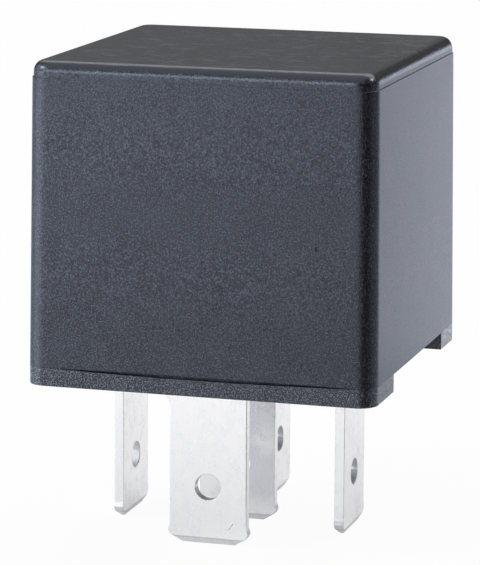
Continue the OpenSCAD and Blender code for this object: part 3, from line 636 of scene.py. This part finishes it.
def merged_copy(name, node):
    """Copy of a CAD node's mesh with its loose triangles merged back into flat faces."""
    work = bmesh.new()
    work.from_mesh(frame["nodes"][node].data)
    bmesh.ops.remove_doubles(work, verts=work.verts, dist=SAME_POINT)
    bmesh.ops.dissolve_limit(work, angle_limit=math.radians(0.5), verts=work.verts, edges=work.edges)
    mesh = bpy.data.meshes.new(name)
    work.to_mesh(mesh)
    work.free()
    for kept in ("custom_normal", "sharp_face"):
        if kept in mesh.attributes:
            mesh.attributes.remove(mesh.attributes[kept])
    mesh.materials.clear()
    mesh.shade_smooth()
    mesh.set_sharp_from_angle(angle=math.radians(25))
    return mesh


def add_piece(mesh, node, material, body="case"):
    """Puts a finished mesh into the scene as the piece that stands for a CAD node."""
    piece = bpy.data.objects.new(mesh.name, mesh)
    bpy.context.scene.collection.objects.link(piece)
    mesh.materials.append(material)
    if body:
        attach(piece, body)
    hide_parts(node)
    return piece


def surface_piece(name, node, slot, material, *grids, body="case", ring_rows=False, crease=38):
    """A piece from grids of points whose columns go round. Its seams and poles are closed, its
    faces point outwards, and edges sharper than crease degrees stay sharp."""
    faces, start = [], 0
    for grid in grids:
        faces.append(grid_quads(*grid.shape[:2], ring_rows, True) + start)
        start += grid.shape[0] * grid.shape[1]
    points = np.concatenate([grid.reshape(-1, 3) for grid in grids])
    mesh = bpy.data.meshes.new(name)
    mesh.from_pydata(points.tolist(), [], np.concatenate(faces).tolist())
    work = bmesh.new()
    work.from_mesh(mesh)
    bmesh.ops.remove_doubles(work, verts=work.verts, dist=SAME_POINT)
    bmesh.ops.recalc_face_normals(work, faces=work.faces)
    work.to_mesh(mesh)
    work.free()
    mesh.shade_smooth()
    mesh.set_sharp_from_angle(angle=math.radians(crease))
    return add_piece(mesh, node, material, body)


def softened_piece(name, node, material, edge, body="case"):
    """The CAD's own shape of a node as a piece. A live bevel of the given width rounds its sharp
    edges, and its large faces stay flat to the eye."""
    piece = add_piece(merged_copy(name, node), node, material, body)
    bevel = piece.modifiers.new("soft_edges", "BEVEL")
    bevel.width = edge
    bevel.segments = 2
    bevel.limit_method = "ANGLE"
    bevel.angle_limit = math.radians(35)
    bevel.use_clamp_overlap = True
    bevel.miter_outer = "MITER_ARC"
    weigh = piece.modifiers.new("flat_faces", "WEIGHTED_NORMAL")
    weigh.keep_sharp = True
    weigh.weight = 100


# ---------- case ----------

def cover_rings(case, low, high):
    """Half width, corner radius and height of each ring of the cover. The rings run from the middle
    of the ceiling down the inside, round the rim and up the outside to the middle of the top."""
    half = (high[0] - low[0]) / 2
    seam, top = low[2], high[2]
    ceiling = top - case.ceiling
    line = top - case.line_drop
    lean = case.draft * (line - seam) / (top - seam)
    inside_top = case.wall + case.draft
    outside_top = case.draft + case.line_step
    profile = rounded_line([(half, ceiling, 0), (inside_top, ceiling, case.ceiling_r),
                            (case.wall, seam, case.rim_r), (0, seam, case.rim_r),
                            (lean, line, case.line_r),
                            (lean + case.line_step, line + case.line_r, case.line_r),
                            (outside_top, top, case.top_r), (half, top, 0)], steps=8)
    inset, height = profile.T
    width = half - inset
    rim = int(np.argmin(height + inset * 1e-3))
    outer = np.arange(len(inset)) > rim
    wall_r = np.where(outer, case.corner_r, case.cavity_r)
    wall_inset = np.where(outer, outside_top, inside_top)
    flat_r = wall_r - np.where(outer, case.top_r, case.ceiling_r)
    flat_inset = wall_inset + wall_r - flat_r
    radius = np.clip(wall_r - np.maximum(0, inset - wall_inset), flat_r, wall_r)
    radius = np.where(inset > flat_inset, flat_r * width / (half - flat_inset), radius)
    return width, radius, height


def cover_points(case):
    """The cover as one grid: each ring is a rounded square, and its columns run round the case. Its
    rim hangs lower by sag (1 - bow). Along the front, bow is 1 - u^4, u being 0 where the rim is
    highest and the lean moving that to the right, and it fades out at the corners; on the other
    sides it is 0."""
    low, high = node_box("cover")
    width, radius, height = cover_rings(case, low, high)
    signs, directions = ring_of_corners()
    plan = (width - radius)[:, None, None] * signs + radius[:, None, None] * directions
    middle = (low + high) / 2
    across = plan[..., :1] / width.max()
    u = (across - case.rim_lean) / (1 + case.rim_lean)
    fade = np.clip((1 - np.abs(across)) * 8, 0, 1)
    bow = (1 - u ** 4) * fade * (directions[:, 1:] < -0.999)
    near_rim = np.clip(1 - (height - low[2]) / MM, 0, 1)[:, None, None]
    level = height[:, None, None] - case.rim_sag * (1 - bow) * near_rim
    return np.concatenate([plan + middle[:2], level], -1)


class RELAY_OT_cover(bpy.types.Operator):
    """Moulded cover: one closed shell from ceiling to top"""
    bl_idname = "relay.cover"
    bl_label = "Cover"

    def execute(self, context):
        case = context.scene.relay_case
        plastic = moulded_plastic("cover_plastic", case.cover_tone, case, 7.0, 0.10, 0.0)
        surface_piece("case_cover", "cover", "case_plastic", plastic, cover_points(case), crease=60)
        return {"FINISHED"}


class RELAY_OT_base(bpy.types.Operator):
    """Base plate with its rails, slots and towers, its edges rounded"""
    bl_idname = "relay.base"
    bl_label = "Base"

    def execute(self, context):
        case = context.scene.relay_case
        plastic = moulded_plastic("base_plastic", case.base_tone, case, 8.0, 0.15, 1.0)
        softened_piece("case_base", "base", plastic, case.base_edge)
        return {"FINISHED"}


# ---------- blades ----------

class RELAY_OT_blades(bpy.types.Operator):
    """The five tinned blades with the strips that they carry into the case"""
    bl_idname = "relay.blades"
    bl_label = "Blades"

    def execute(self, context):
        look = context.scene.relay_blades
        tin = tin_plate(look)
        for contact in ("87", "87a", "30", "85", "86"):
            node = f"terminal_{contact}"
            softened_piece(f"blade_{contact}", node, tin, look.edge)
        return {"FINISHED"}


# ---------- magnet ----------

class RELAY_OT_iron(bpy.types.Operator):
    """Yoke, core and armature: the iron of the magnet"""
    bl_idname = "relay.iron"
    bl_label = "Iron"

    def execute(self, context):
        look = context.scene.relay_magnet
        iron = plated_iron(look)
        softened_piece("magnet_yoke", "yoke", iron, look.iron_edge)
        softened_piece("rocking_armature", "armature", iron, look.iron_edge, "armature")
        surface_piece("magnet_core", "core", "iron", iron, self.core_points(look))
        return {"FINISHED"}

    @staticmethod
    def core_points(look):
        """Turned core: riveted end, shank and pole face, with rounded rims."""
        low, high = node_box("core")
        foot, bobbin = node_box("yoke")[0][2], node_box("bobbin")
        foot_top, pole = bobbin[0][2], bobbin[1][2]
        pole_r, edge = (high[0] - low[0]) / 2, look.turned_edge
        profile = rounded_line([
            (0, low[2], 0), (look.core_rim_r, low[2], edge), (look.core_rim_r, foot, 0),
            (look.core_rivet_r, foot, 0), (look.core_rivet_r, foot_top, 0), (look.core_r, foot_top, 0),
            (look.core_r, pole, 0), (pole_r, pole, edge), (pole_r, high[2], edge), (0, high[2], 0)])
        return lathe(profile) + [0, (low[1] + high[1]) / 2, 0]


class RELAY_OT_coil(bpy.types.Operator):
    """Bobbin, winding and tape of the coil"""
    bl_idname = "relay.coil"
    bl_label = "Coil"

    def execute(self, context):
        look = context.scene.relay_magnet
        low, high = node_box("bobbin")
        middle = [0, (low[1] + high[1]) / 2, 0]
        plastic = smooth_plastic("bobbin_plastic", look.bobbin, shade(look.bobbin, 1.7),
                                 (5.0, 3.0, 0.6), (0.34, 0.2), 0.01 * MM)
        surface_piece("coil_bobbin", "bobbin", "bobbin_plastic", plastic,
                      self.bobbin_points(look) + middle, ring_rows=True)
        surface_piece("wound_wire", "coil_winding", "copper_wire", enamelled_copper(look),
                      self.winding_points(look) + middle, ring_rows=True, crease=70)
        film = smooth_plastic("film_tape", look.tape, shade(look.tape, 0.6),
                              (1.4, 3.0, 0.5, (0.35, 0.35, 2.4)), (0.2, 0.15), 0.03 * MM)
        surface_piece("coil_wrap", "coil_tape", "tape", film, self.tape_points(look) + middle,
                      ring_rows=True)
        return {"FINISHED"}

    @staticmethod
    def bobbin_points(look):
        """Turned bobbin: its section is a tall channel, carried round the coil's axis."""
        low, high = node_box("bobbin")
        winding_low, winding_high = node_box("coil_winding")
        flange_r, bore_r, tube_r = (high[0] - low[0]) / 2, look.core_r + look.bore_air, look.tube_r
        edge = look.turned_edge
        corners = [(bore_r, low[2], edge), (flange_r, low[2], edge),
                   (flange_r, winding_low[2], edge), (tube_r, winding_low[2], edge),
                   (tube_r, winding_high[2], edge), (flange_r, winding_high[2], edge),
                   (flange_r, high[2], edge), (bore_r, high[2], edge)]
        return lathe(rounded_line(corners, steps=3, closed=True), 64)

    @staticmethod
    def winding_points(look):
        """Winding as one helical surface: at height z and angle a its radius is the depth between
        two turns plus half a round turn, the turn's phase being z / pitch - a / 2 pi. Near both
        flanges the turns fade into a plain cylinder."""
        low, high = node_box("coil_winding")
        outer = (high[0] - low[0]) / 2
        turn_r = look.wire_d / 2
        turns = round((high[2] - low[2]) / look.wire_d)
        z = np.linspace(0, 1, 9 * turns + 1)
        angle = np.linspace(0, 2 * math.pi, 72, endpoint=False)
        phase = (z[:, None] * turns - angle / (2 * math.pi)) % 1
        ridge = np.sqrt(1 - (2 * phase - 1) ** 2 * 0.999)
        fade = np.clip(np.minimum(z, 1 - z) * turns, 0, 1)[:, None]
        radius = outer - turn_r + turn_r * ridge * fade
        level = np.broadcast_to((low[2] + z * (high[2] - low[2]))[:, None], radius.shape)
        wall = np.stack([radius * np.cos(angle), radius * np.sin(angle), level], -1)
        inner = lathe([(look.tube_r, high[2]), (look.tube_r, low[2])], len(angle))
        return np.concatenate([wall, inner])

    @staticmethod
    def tape_points(look):
        """Tape as a closed ring whose outer radius rises by the lap over a sixth of a turn."""
        low, high = node_box("coil_tape")
        outer, inner = (high[0] - low[0]) / 2, node_box("coil_winding")[1][0]
        edge = (outer - inner) * 0.3
        profile = rounded_line([(inner, low[2], 0), (outer - look.tape_lap, low[2], edge),
                                (outer - look.tape_lap, high[2], edge), (inner, high[2], 0)], closed=True)
        points = lathe(profile, 96)
        angle = np.linspace(0, 2 * math.pi, 96, endpoint=False)
        lap = look.tape_lap * ((angle > 0.3) & (angle < 1.35))
        reach = np.linalg.norm(points[..., :2], axis=-1, keepdims=True)
        points[..., :2] *= 1 + (reach > inner + edge / 2) * (lap[None, :, None] / reach)
        return points


# ---------- contacts, rivets and spring ----------

def headed_stem(face, end, head_t, head_r, stem_r, edge):
    """Head on a stem, turned about Z, given the heights of the head's face and of the stem's end."""
    back = face + math.copysign(head_t, end - face)
    return lathe(rounded_line([(0, face, 0), (head_r, face, edge), (head_r, back, edge / 3),
                               (stem_r, back, 0), (stem_r, end, edge), (0, end, 0)]))


class RELAY_OT_contacts(bpy.types.Operator):
    """The two fixed contacts and the domed contact that moves between them"""
    bl_idname = "relay.contacts"
    bl_label = "Contacts"

    def execute(self, context):
        look = context.scene.relay_contacts
        silver = worked_metal("turned_silver", look.silver, (2.0, 2.0, 2.0), 0.26, 0.006 * MM)
        for node, faces_up in (("normally_open_contact", True), ("normally_closed_contact", False)):
            low, high = node_box(node)
            face, end = (high[2], low[2]) if faces_up else (low[2], high[2])
            points = headed_stem(face, end, look.head_t, (high[0] - low[0]) / 2, look.stem_d / 2,
                                 look.edge)
            surface_piece(f"fixed_{node}", node, "silver_contact", silver,
                          points + [(low[0] + high[0]) / 2, (low[1] + high[1]) / 2, 0])
        surface_piece("moving_double_contact", "moving_contact", "silver_contact", silver,
                      self.double_contact(look), body="armature")
        return {"FINISHED"}

    @staticmethod
    def double_contact(look):
        """Two domed heads on one stem: each dome's height is its pole's less R - sqrt(R^2 - r^2)."""
        low, high = pulled_in_box("moving_contact")
        head_r, stem_r = (high[0] - low[0]) / 2, look.stem_d / 2
        head_t = (high[2] - low[2] - look.spring_t) / 2
        r = np.linspace(0, head_r - look.edge, 9)
        sag = look.dome_r - np.sqrt(look.dome_r ** 2 - r ** 2)
        rim_z, head_z = low[2] + sag[-1], low[2] + head_t
        rim = rounded_line([(r[-1], rim_z, 0), (head_r, rim_z + look.edge / 2, look.edge / 2),
                            (head_r, head_z, 0), (stem_r, head_z, 0)])
        lower = np.concatenate([np.stack([r[:-1], low[2] + sag[:-1]], -1), rim])
        upper = lower[::-1] * [1, -1] + [0, low[2] + high[2]]
        points = lathe(np.concatenate([lower, upper]))
        return rocked(points + [(low[0] + high[0]) / 2, (low[1] + high[1]) / 2, 0])


class RELAY_OT_rivets(bpy.types.Operator):
    """The four rivets that hold the leaf spring"""
    bl_idname = "relay.rivets"
    bl_label = "Rivets"

    def execute(self, context):
        look = context.scene.relay_contacts
        brass = worked_metal("headed_brass", look.brass, (1.5, 1.5, 1.5), 0.30, 0.008 * MM)
        stem_r, head_t = look.stem_d / 2, look.rivet_head_t
        low, high = pulled_in_box("armature_rivets")
        head_r = (high[1] - low[1]) / 2
        rivet = headed_stem(high[2], low[2], head_t, head_r, stem_r, head_t * 0.6)
        grids = [rocked(rivet + [x, (low[1] + high[1]) / 2, 0])
                 for x in (low[0] + head_r, high[0] - head_r)]
        surface_piece("spring_rivets_on_armature", "armature_rivets", "rivet_brass", brass, *grids,
                      body="armature")
        low, high = node_box("yoke_rivets")
        head_r = (high[0] - low[0]) / 2
        rivet = headed_stem(high[1], low[1], head_t, head_r, stem_r, head_t * 0.6)
        grids = [along_axis(rivet, (0, 0, z), (0, 1, 0)) for z in (low[2] + head_r, high[2] - head_r)]
        surface_piece("spring_rivets_on_yoke", "yoke_rivets", "rivet_brass", brass, *grids)
        return {"FINISHED"}


class RELAY_OT_spring(bpy.types.Operator):
    """Leaf spring: up the yoke's back, over the armature's tail and out to the moving contact"""
    bl_idname = "relay.spring"
    bl_label = "Leaf spring"

    def execute(self, context):
        look = context.scene.relay_contacts
        low, high = node_box("leaf_spring")
        half_w, half_t = (high[0] - low[0]) / 2, look.spring_t / 2
        section = rounded_line([(-half_w, -half_t, half_t * 0.8), (half_w, -half_t, half_t * 0.8),
                                (half_w, half_t, half_t * 0.8), (-half_w, half_t, half_t * 0.8)],
                               steps=3, guard=0.03 * MM, closed=True)
        points = swept_strip(self.centre_line(look), section)
        bronze = worked_metal("rolled_bronze", look.bronze, (4.0, 0.25, 0.25), 0.30, 0.006 * MM)
        piece = surface_piece("bronze_leaf_spring", "leaf_spring", "spring_bronze", bronze, points,
                              body=None)
        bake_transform(piece)
        return {"FINISHED"}

    @staticmethod
    def centre_line(look):
        """Middle line in the YZ plane: a straight leg, an arc over the armature's tail, a slope down
        to the armature and the arm, which lies on the armature at rest."""
        low = node_box("leaf_spring")[0]
        leg_y = node_box("yoke")[1][1] + look.spring_t / 2
        arm_z = pulled_in_box("armature")[1][2] + look.spring_t / 2
        centre = np.array([leg_y - look.spring_bend_r, arm_z + look.spring_hump])
        bend = arc(centre, look.spring_bend_r, 0, math.radians(105), 16)
        ends = np.array([[0, centre[0] - look.spring_slope, arm_z],
                         [0, node_box("moving_contact")[0][1] - look.spring_end, arm_z]])
        arm = rocked(ends)[:, 1:]
        leg = np.stack([np.full(12, leg_y), np.linspace(low[2], centre[1], 12, endpoint=False)], -1)
        t = np.linspace(0, 1, 14)[1:, None]
        slope = bend[-1] + (arm[0] - bend[-1]) * t
        reach = np.linspace(0, 1, 20)[1:, None]
        return np.concatenate([leg, bend, slope, arm[0] + (arm[1] - arm[0]) * reach])


# ---------- coil circuit ----------

def solder_dome(spot, outward, diameter, flat=0.85):
    """Half a drop of solder on a face: radius d/2 cos b and height flat d/2 sin b, b from 0 to 90."""
    b = np.linspace(0, math.pi / 2, 10)
    profile = np.stack([diameter / 2 * np.cos(b), flat * diameter / 2 * np.sin(b)], -1)
    profile = np.concatenate([[[0, 0]], profile])
    return along_axis(lathe(profile, 24), spot, outward)


class RELAY_OT_leads(bpy.types.Operator):
    """The coil's two lead-out wires, each soldered to its blade"""
    bl_idname = "relay.leads"
    bl_label = "Coil leads"

    def execute(self, context):
        look = context.scene.relay_circuit
        copper = bpy.data.materials["enamelled_copper"]
        for number, side in (("85", 1), ("86", -1)):
            low, high = node_box(f"coil_lead_{number}")
            middle = (low + high) / 2
            face, coil = (high[0], low[0]) if side > 0 else (low[0], high[0])
            coil += side * look.lead_d / 2
            t = np.linspace(0, 1, 24)[:, None]
            straight = np.array([coil, *middle[1:]]) * (1 - t) + np.array([face, *middle[1:]]) * t
            path = straight + [0, 0, 1] * (look.lead_rise * np.sin(math.pi * t))
            surface_piece(f"lead_wire_{number}", f"coil_lead_{number}", "copper_wire", copper,
                          tube(path, look.lead_d / 2),
                          solder_dome([face, *middle[1:]], (-side, 0, 0), look.solder_d))
        return {"FINISHED"}


class RELAY_OT_resistor(bpy.types.Operator):
    """Suppression resistor across the coil blades, with its bent wires and their solder"""
    bl_idname = "relay.resistor"
    bl_label = "Resistor"

    def execute(self, context):
        look = context.scene.relay_circuit
        low, high = node_box("resistor_body")
        lacquer = banded_lacquer(look, low[0], high[0])
        surface_piece("resistor_bead", "resistor_body", "resistor_coat", lacquer,
                      self.body_points(look, low, high))
        tinned = worked_metal("tinned_wire", (0.74, 0.74, 0.75), (0.6, 0.6, 0.6), 0.28, 0.006 * MM)
        wires_low, wires_high = node_box("resistor_wires")
        centre = (low + high) / 2
        grids = []
        for side, outer in ((-1, wires_low[0]), (1, wires_high[0])):
            blade_x = outer - side * look.joint_d / 2
            end = [blade_x, wires_high[1], centre[2]]
            corners = [[side * (high[0] - look.wire_inset), *centre[1:]], [blade_x, *centre[1:]], end]
            grids.append(tube(rounded_path(corners, look.bend_r), look.wire_d / 2))
            grids.append(solder_dome(end, (0, -1, 0), look.joint_d))
        surface_piece("resistor_leads", "resistor_wires", "tinned_wire", tinned, *grids)
        return {"FINISHED"}

    @staticmethod
    def body_points(look, low, high):
        """Resistor turned about X: its radius is that of its ends less the waist in the middle."""
        half, radius = (high[0] - low[0]) / 2, (high[2] - low[2]) / 2
        cap = arc((half - look.end_r, radius - look.end_r), look.end_r, math.pi / 2, 0, 6)
        x = np.linspace(look.end_r - half, half - look.end_r, 25)[1:-1]
        dip = np.clip((half - look.end_l - np.abs(x)) / look.end_r, 0, 1)
        side = np.stack([x, radius - look.waist * dip * dip * (3 - 2 * dip)], -1)
        line = np.concatenate([[[-half, 0]], cap[::-1] * [-1, 1], side, cap, [[half, 0]]])
        return along_axis(lathe(line[:, ::-1], 40), (low + high) / 2, (1, 0, 0))


# ---------- stage ----------

def direction(azimuth, elevation):
    """Unit vector towards an angle round the relay, from -Y towards +X, and an angle above it."""
    return np.array([math.sin(azimuth) * math.cos(elevation), -math.cos(azimuth) * math.cos(elevation),
                     math.sin(elevation)])


class RELAY_OT_stage(bpy.types.Operator):
    """Pale floor, soft lamps and the camera"""
    bl_idname = "relay.stage"
    bl_label = "Stage"

    def execute(self, context):
        look = context.scene.relay_stage
        self.floor(look)
        self.cards()
        self.world(context.scene)
        self.lamps()
        self.camera(context.scene, look)
        context.scene.view_settings.view_transform = "Standard"
        return {"FINISHED"}

    @staticmethod
    def stage_piece(tree, surface, points, faces):
        """Adds a stage piece, which takes its name from its material, whose tree ends in surface."""
        tree.node("ShaderNodeOutputMaterial", sockets={"Surface": surface})
        mesh = bpy.data.meshes.new(tree.owner.name)
        mesh.from_pydata(points, [], faces)
        mesh.materials.append(tree.owner)
        piece = bpy.data.objects.new(mesh.name, mesh)
        bpy.context.scene.collection.objects.link(piece)
        return piece

    def floor(self, look):
        """White floor at the blade tips. The camera sees it mostly as plain white, with the shadow,
        and glossy surfaces see it as partly so."""
        tree = new_tree("floor")
        lit = tree.node("ShaderNodeBsdfDiffuse", sockets={"Color": look.floor_tone})
        white = tree.node("ShaderNodeEmission", sockets={"Color": (1, 1, 1), "Strength": 1.0})
        seen = tree.node("ShaderNodeLightPath", out="Is Camera Ray")
        mirrored = tree.node("ShaderNodeLightPath", out="Is Glossy Ray")
        shown = tree.node("ShaderNodeMixShader",
                          sockets={0: seen * 0.95 + mirrored * 0.56, 1: lit, 2: white})
        half, level = look.floor_size / 2, CAD_BOX[0][2]
        corners = [(x * half, y * half, level) for x, y in ((-1, -1), (1, -1), (1, 1), (-1, 1))]
        self.stage_piece(tree, shown, corners, [(0, 1, 2, 3)])

    def cards(self):
        """Curved cards round the relay that only reflections show: a black one on the floor and
        upright at the front right, which keeps the case's right front edge dark, a dim one high
        behind, which does so along the top, and lit ones low and high in front, at both sides and
        behind. Each is a profile of reach and height in millimetres, carried round from one
        azimuth to another in degrees, with its tone."""
        for name, start, stop, profile, tone in (
                ("black_card", 28, 70, [(21, 0.3), (60, 0.3), (60, 60)], None),
                ("left_card", -73, -39, [(60, 0.3), (60, 42)], (3.2, 3.3, 3.5)),
                ("side_card", 70, 144, [(60, 0.3), (60, 40)], (0.45, 0.45, 0.5)),
                ("back_card", 144, 184, [(60, 0.3), (60, 40)], (1.93, 1.86, 1.90)),
                ("dim_card", 186, 235, [(60, 41), (60, 66)], (0.13, 0.13, 0.13)),
                ("low_card", -42, 20, [(80, 0.3), (80, 36)], (1.38, 1.37, 1.41)),
                ("high_card", -44, 6, [(80, 43), (80, 66)], (5.0, 5.1, 5.3))):
            azimuth = np.radians(np.linspace(start, stop, 33))
            plan = np.stack([np.sin(azimuth), -np.cos(azimuth)], -1)
            reach, height = (np.array(profile) * MM).T[..., None, None]
            spots = np.concatenate([reach * plan, height + 0 * plan[:, :1]], -1)
            tree = new_tree(name)
            if tone:
                surface = tree.node("ShaderNodeEmission", sockets={"Color": tone, "Strength": 1.0})
            else:
                surface = tree.node("ShaderNodeBsdfDiffuse", sockets={"Color": (0.005, 0.005, 0.005)})
            faces = grid_quads(len(profile), len(plan), False, False)
            card = self.stage_piece(tree, surface, spots.reshape(-1, 3).tolist(), faces.tolist())
            card.visible_camera = card.visible_diffuse = card.visible_shadow = False

    @staticmethod
    def world(scene):
        """Room light: soft boxes in a dim room. Each has a middle azimuth, a half width, the sines of
        its lower and upper elevation, and a tone; the camera sees plain white."""
        scene.world = bpy.data.worlds.new("studio")
        tree = Tree(scene.world)
        towards = tree.node("ShaderNodeTexCoord", out="Object")
        up = tree.axis(towards, "Z")
        around = tree.axis(towards, "X").math(
            "ARCTAN2", tree.axis(towards, "X"), 0 - tree.axis(towards, "Y"))
        glow = up.between(0.75, 0.95) * 0.6 + 0.09
        room = tree.vector_math("SCALE", (1.0, 0.99, 0.97), glow)
        for middle, half, low, high, tone in (
                (-80, 32, -0.2, 0.62, (1.0, 1.02, 1.1)), (-20, 70, 0.35, 0.85, (0.45, 0.45, 0.45)),
                (180, 50, 0.50, 0.88, (1.8, 1.76, 1.68))):
            turn = (around - math.radians(middle)).absolute()
            turn = turn.math("MINIMUM", turn, 2 * math.pi - turn)
            inside = 1 - turn.between(math.radians(half - 8), math.radians(half + 8))
            tall = up.between(low - 0.04, low + 0.04) - up.between(high - 0.04, high + 0.04)
            room = tree.vector_math("ADD", room, tree.vector_math("SCALE", tone, inside * tall))
        seen = tree.node("ShaderNodeLightPath", out="Is Camera Ray")
        shown = tree.mix(room, (1, 1, 1), seen)
        light = tree.node("ShaderNodeBackground", sockets={"Color": shown, "Strength": 1.0})
        tree.node("ShaderNodeOutputWorld", sockets={"Surface": light})

    @staticmethod
    def lamps():
        """Two soft lamps, one at the front left and one at the right."""
        aim = (np.array(CAD_BOX[0]) + np.array(CAD_BOX[1])) / 2
        for name, azimuth, elevation, distance, size, power in (
                ("front_left_lamp", -62, 36, 0.60, 0.20, 1.1),
                ("right_lamp", 112, 40, 0.60, 0.14, 0.5)):
            lamp = bpy.data.lights.new(name, "AREA")
            lamp.shape = "DISK"
            lamp.size = size
            lamp.energy = power
            stand = bpy.data.objects.new(name, lamp)
            towards = direction(math.radians(azimuth), math.radians(elevation))
            stand.location = aim + distance * towards
            stand.rotation_euler = Vector(towards).to_track_quat("Z", "Y").to_euler()
            stand.visible_camera = False
            bpy.context.scene.collection.objects.link(stand)

    @staticmethod
    def camera(scene, look):
        """Camera on a line from the middle of the cover's seam, moved aside and up across it."""
        back = direction(look.azimuth, look.elevation)
        right = np.array([math.cos(look.azimuth), math.sin(look.azimuth), 0])
        up = np.cross(back, right)
        seam = node_box("cover")[0][2]
        spot = np.array([0, 0, seam]) + back * look.distance - right * look.aside + up * look.above
        cos, sin = math.cos(look.roll), math.sin(look.roll)
        camera = bpy.data.cameras.new("camera")
        camera.lens = look.lens
        camera.clip_start = 0.01
        camera.clip_end = 20
        stand = bpy.data.objects.new("camera", camera)
        axes = np.stack([cos * right + sin * up, cos * up - sin * right, back], -1)
        stand.matrix_world = Matrix.Translation(spot) @ Matrix(axes.tolist()).to_4x4()
        scene.collection.objects.link(stand)
        scene.camera = stand


# ---------- add-on ----------

SETTINGS = {"relay_case": RelayCase, "relay_blades": RelayBlades, "relay_magnet": RelayMagnet,
            "relay_contacts": RelayContacts, "relay_circuit": RelayCircuit, "relay_stage": RelayStage}
OPERATORS = (RELAY_OT_cover, RELAY_OT_base, RELAY_OT_blades, RELAY_OT_iron, RELAY_OT_coil,
             RELAY_OT_contacts, RELAY_OT_rivets, RELAY_OT_spring, RELAY_OT_leads, RELAY_OT_resistor,
             RELAY_OT_stage)


class RELAY_PT_panel(bpy.types.Panel):
    """Settings and steps of the relay"""
    bl_idname = "RELAY_PT_panel"
    bl_label = "Five-blade relay"
    bl_space_type = "VIEW_3D"
    bl_region_type = "UI"
    bl_category = "Relay"

    def draw(self, context):
        for name, group in SETTINGS.items():
            box = self.layout.box()
            box.label(text=group.__name__)
            for setting in group.__annotations__:
                box.prop(getattr(context.scene, name), setting)
        for operator in OPERATORS:
            self.layout.operator(operator.bl_idname)


def register():
    for group in SETTINGS.values():
        bpy.utils.register_class(group)
    for operator in OPERATORS:
        bpy.utils.register_class(operator)
    bpy.utils.register_class(RELAY_PT_panel)
    for name, group in SETTINGS.items():
        setattr(bpy.types.Scene, name, PointerProperty(type=group))


def unregister():
    for name in SETTINGS:
        delattr(bpy.types.Scene, name)
    bpy.utils.unregister_class(RELAY_PT_panel)
    for made in reversed(OPERATORS + tuple(SETTINGS.values())):
        bpy.utils.unregister_class(made)


def main():
    register()
    for operator in OPERATORS:
        getattr(bpy.ops.relay, operator.bl_idname.partition(".")[2])()


if __name__ == "__main__":
    main()
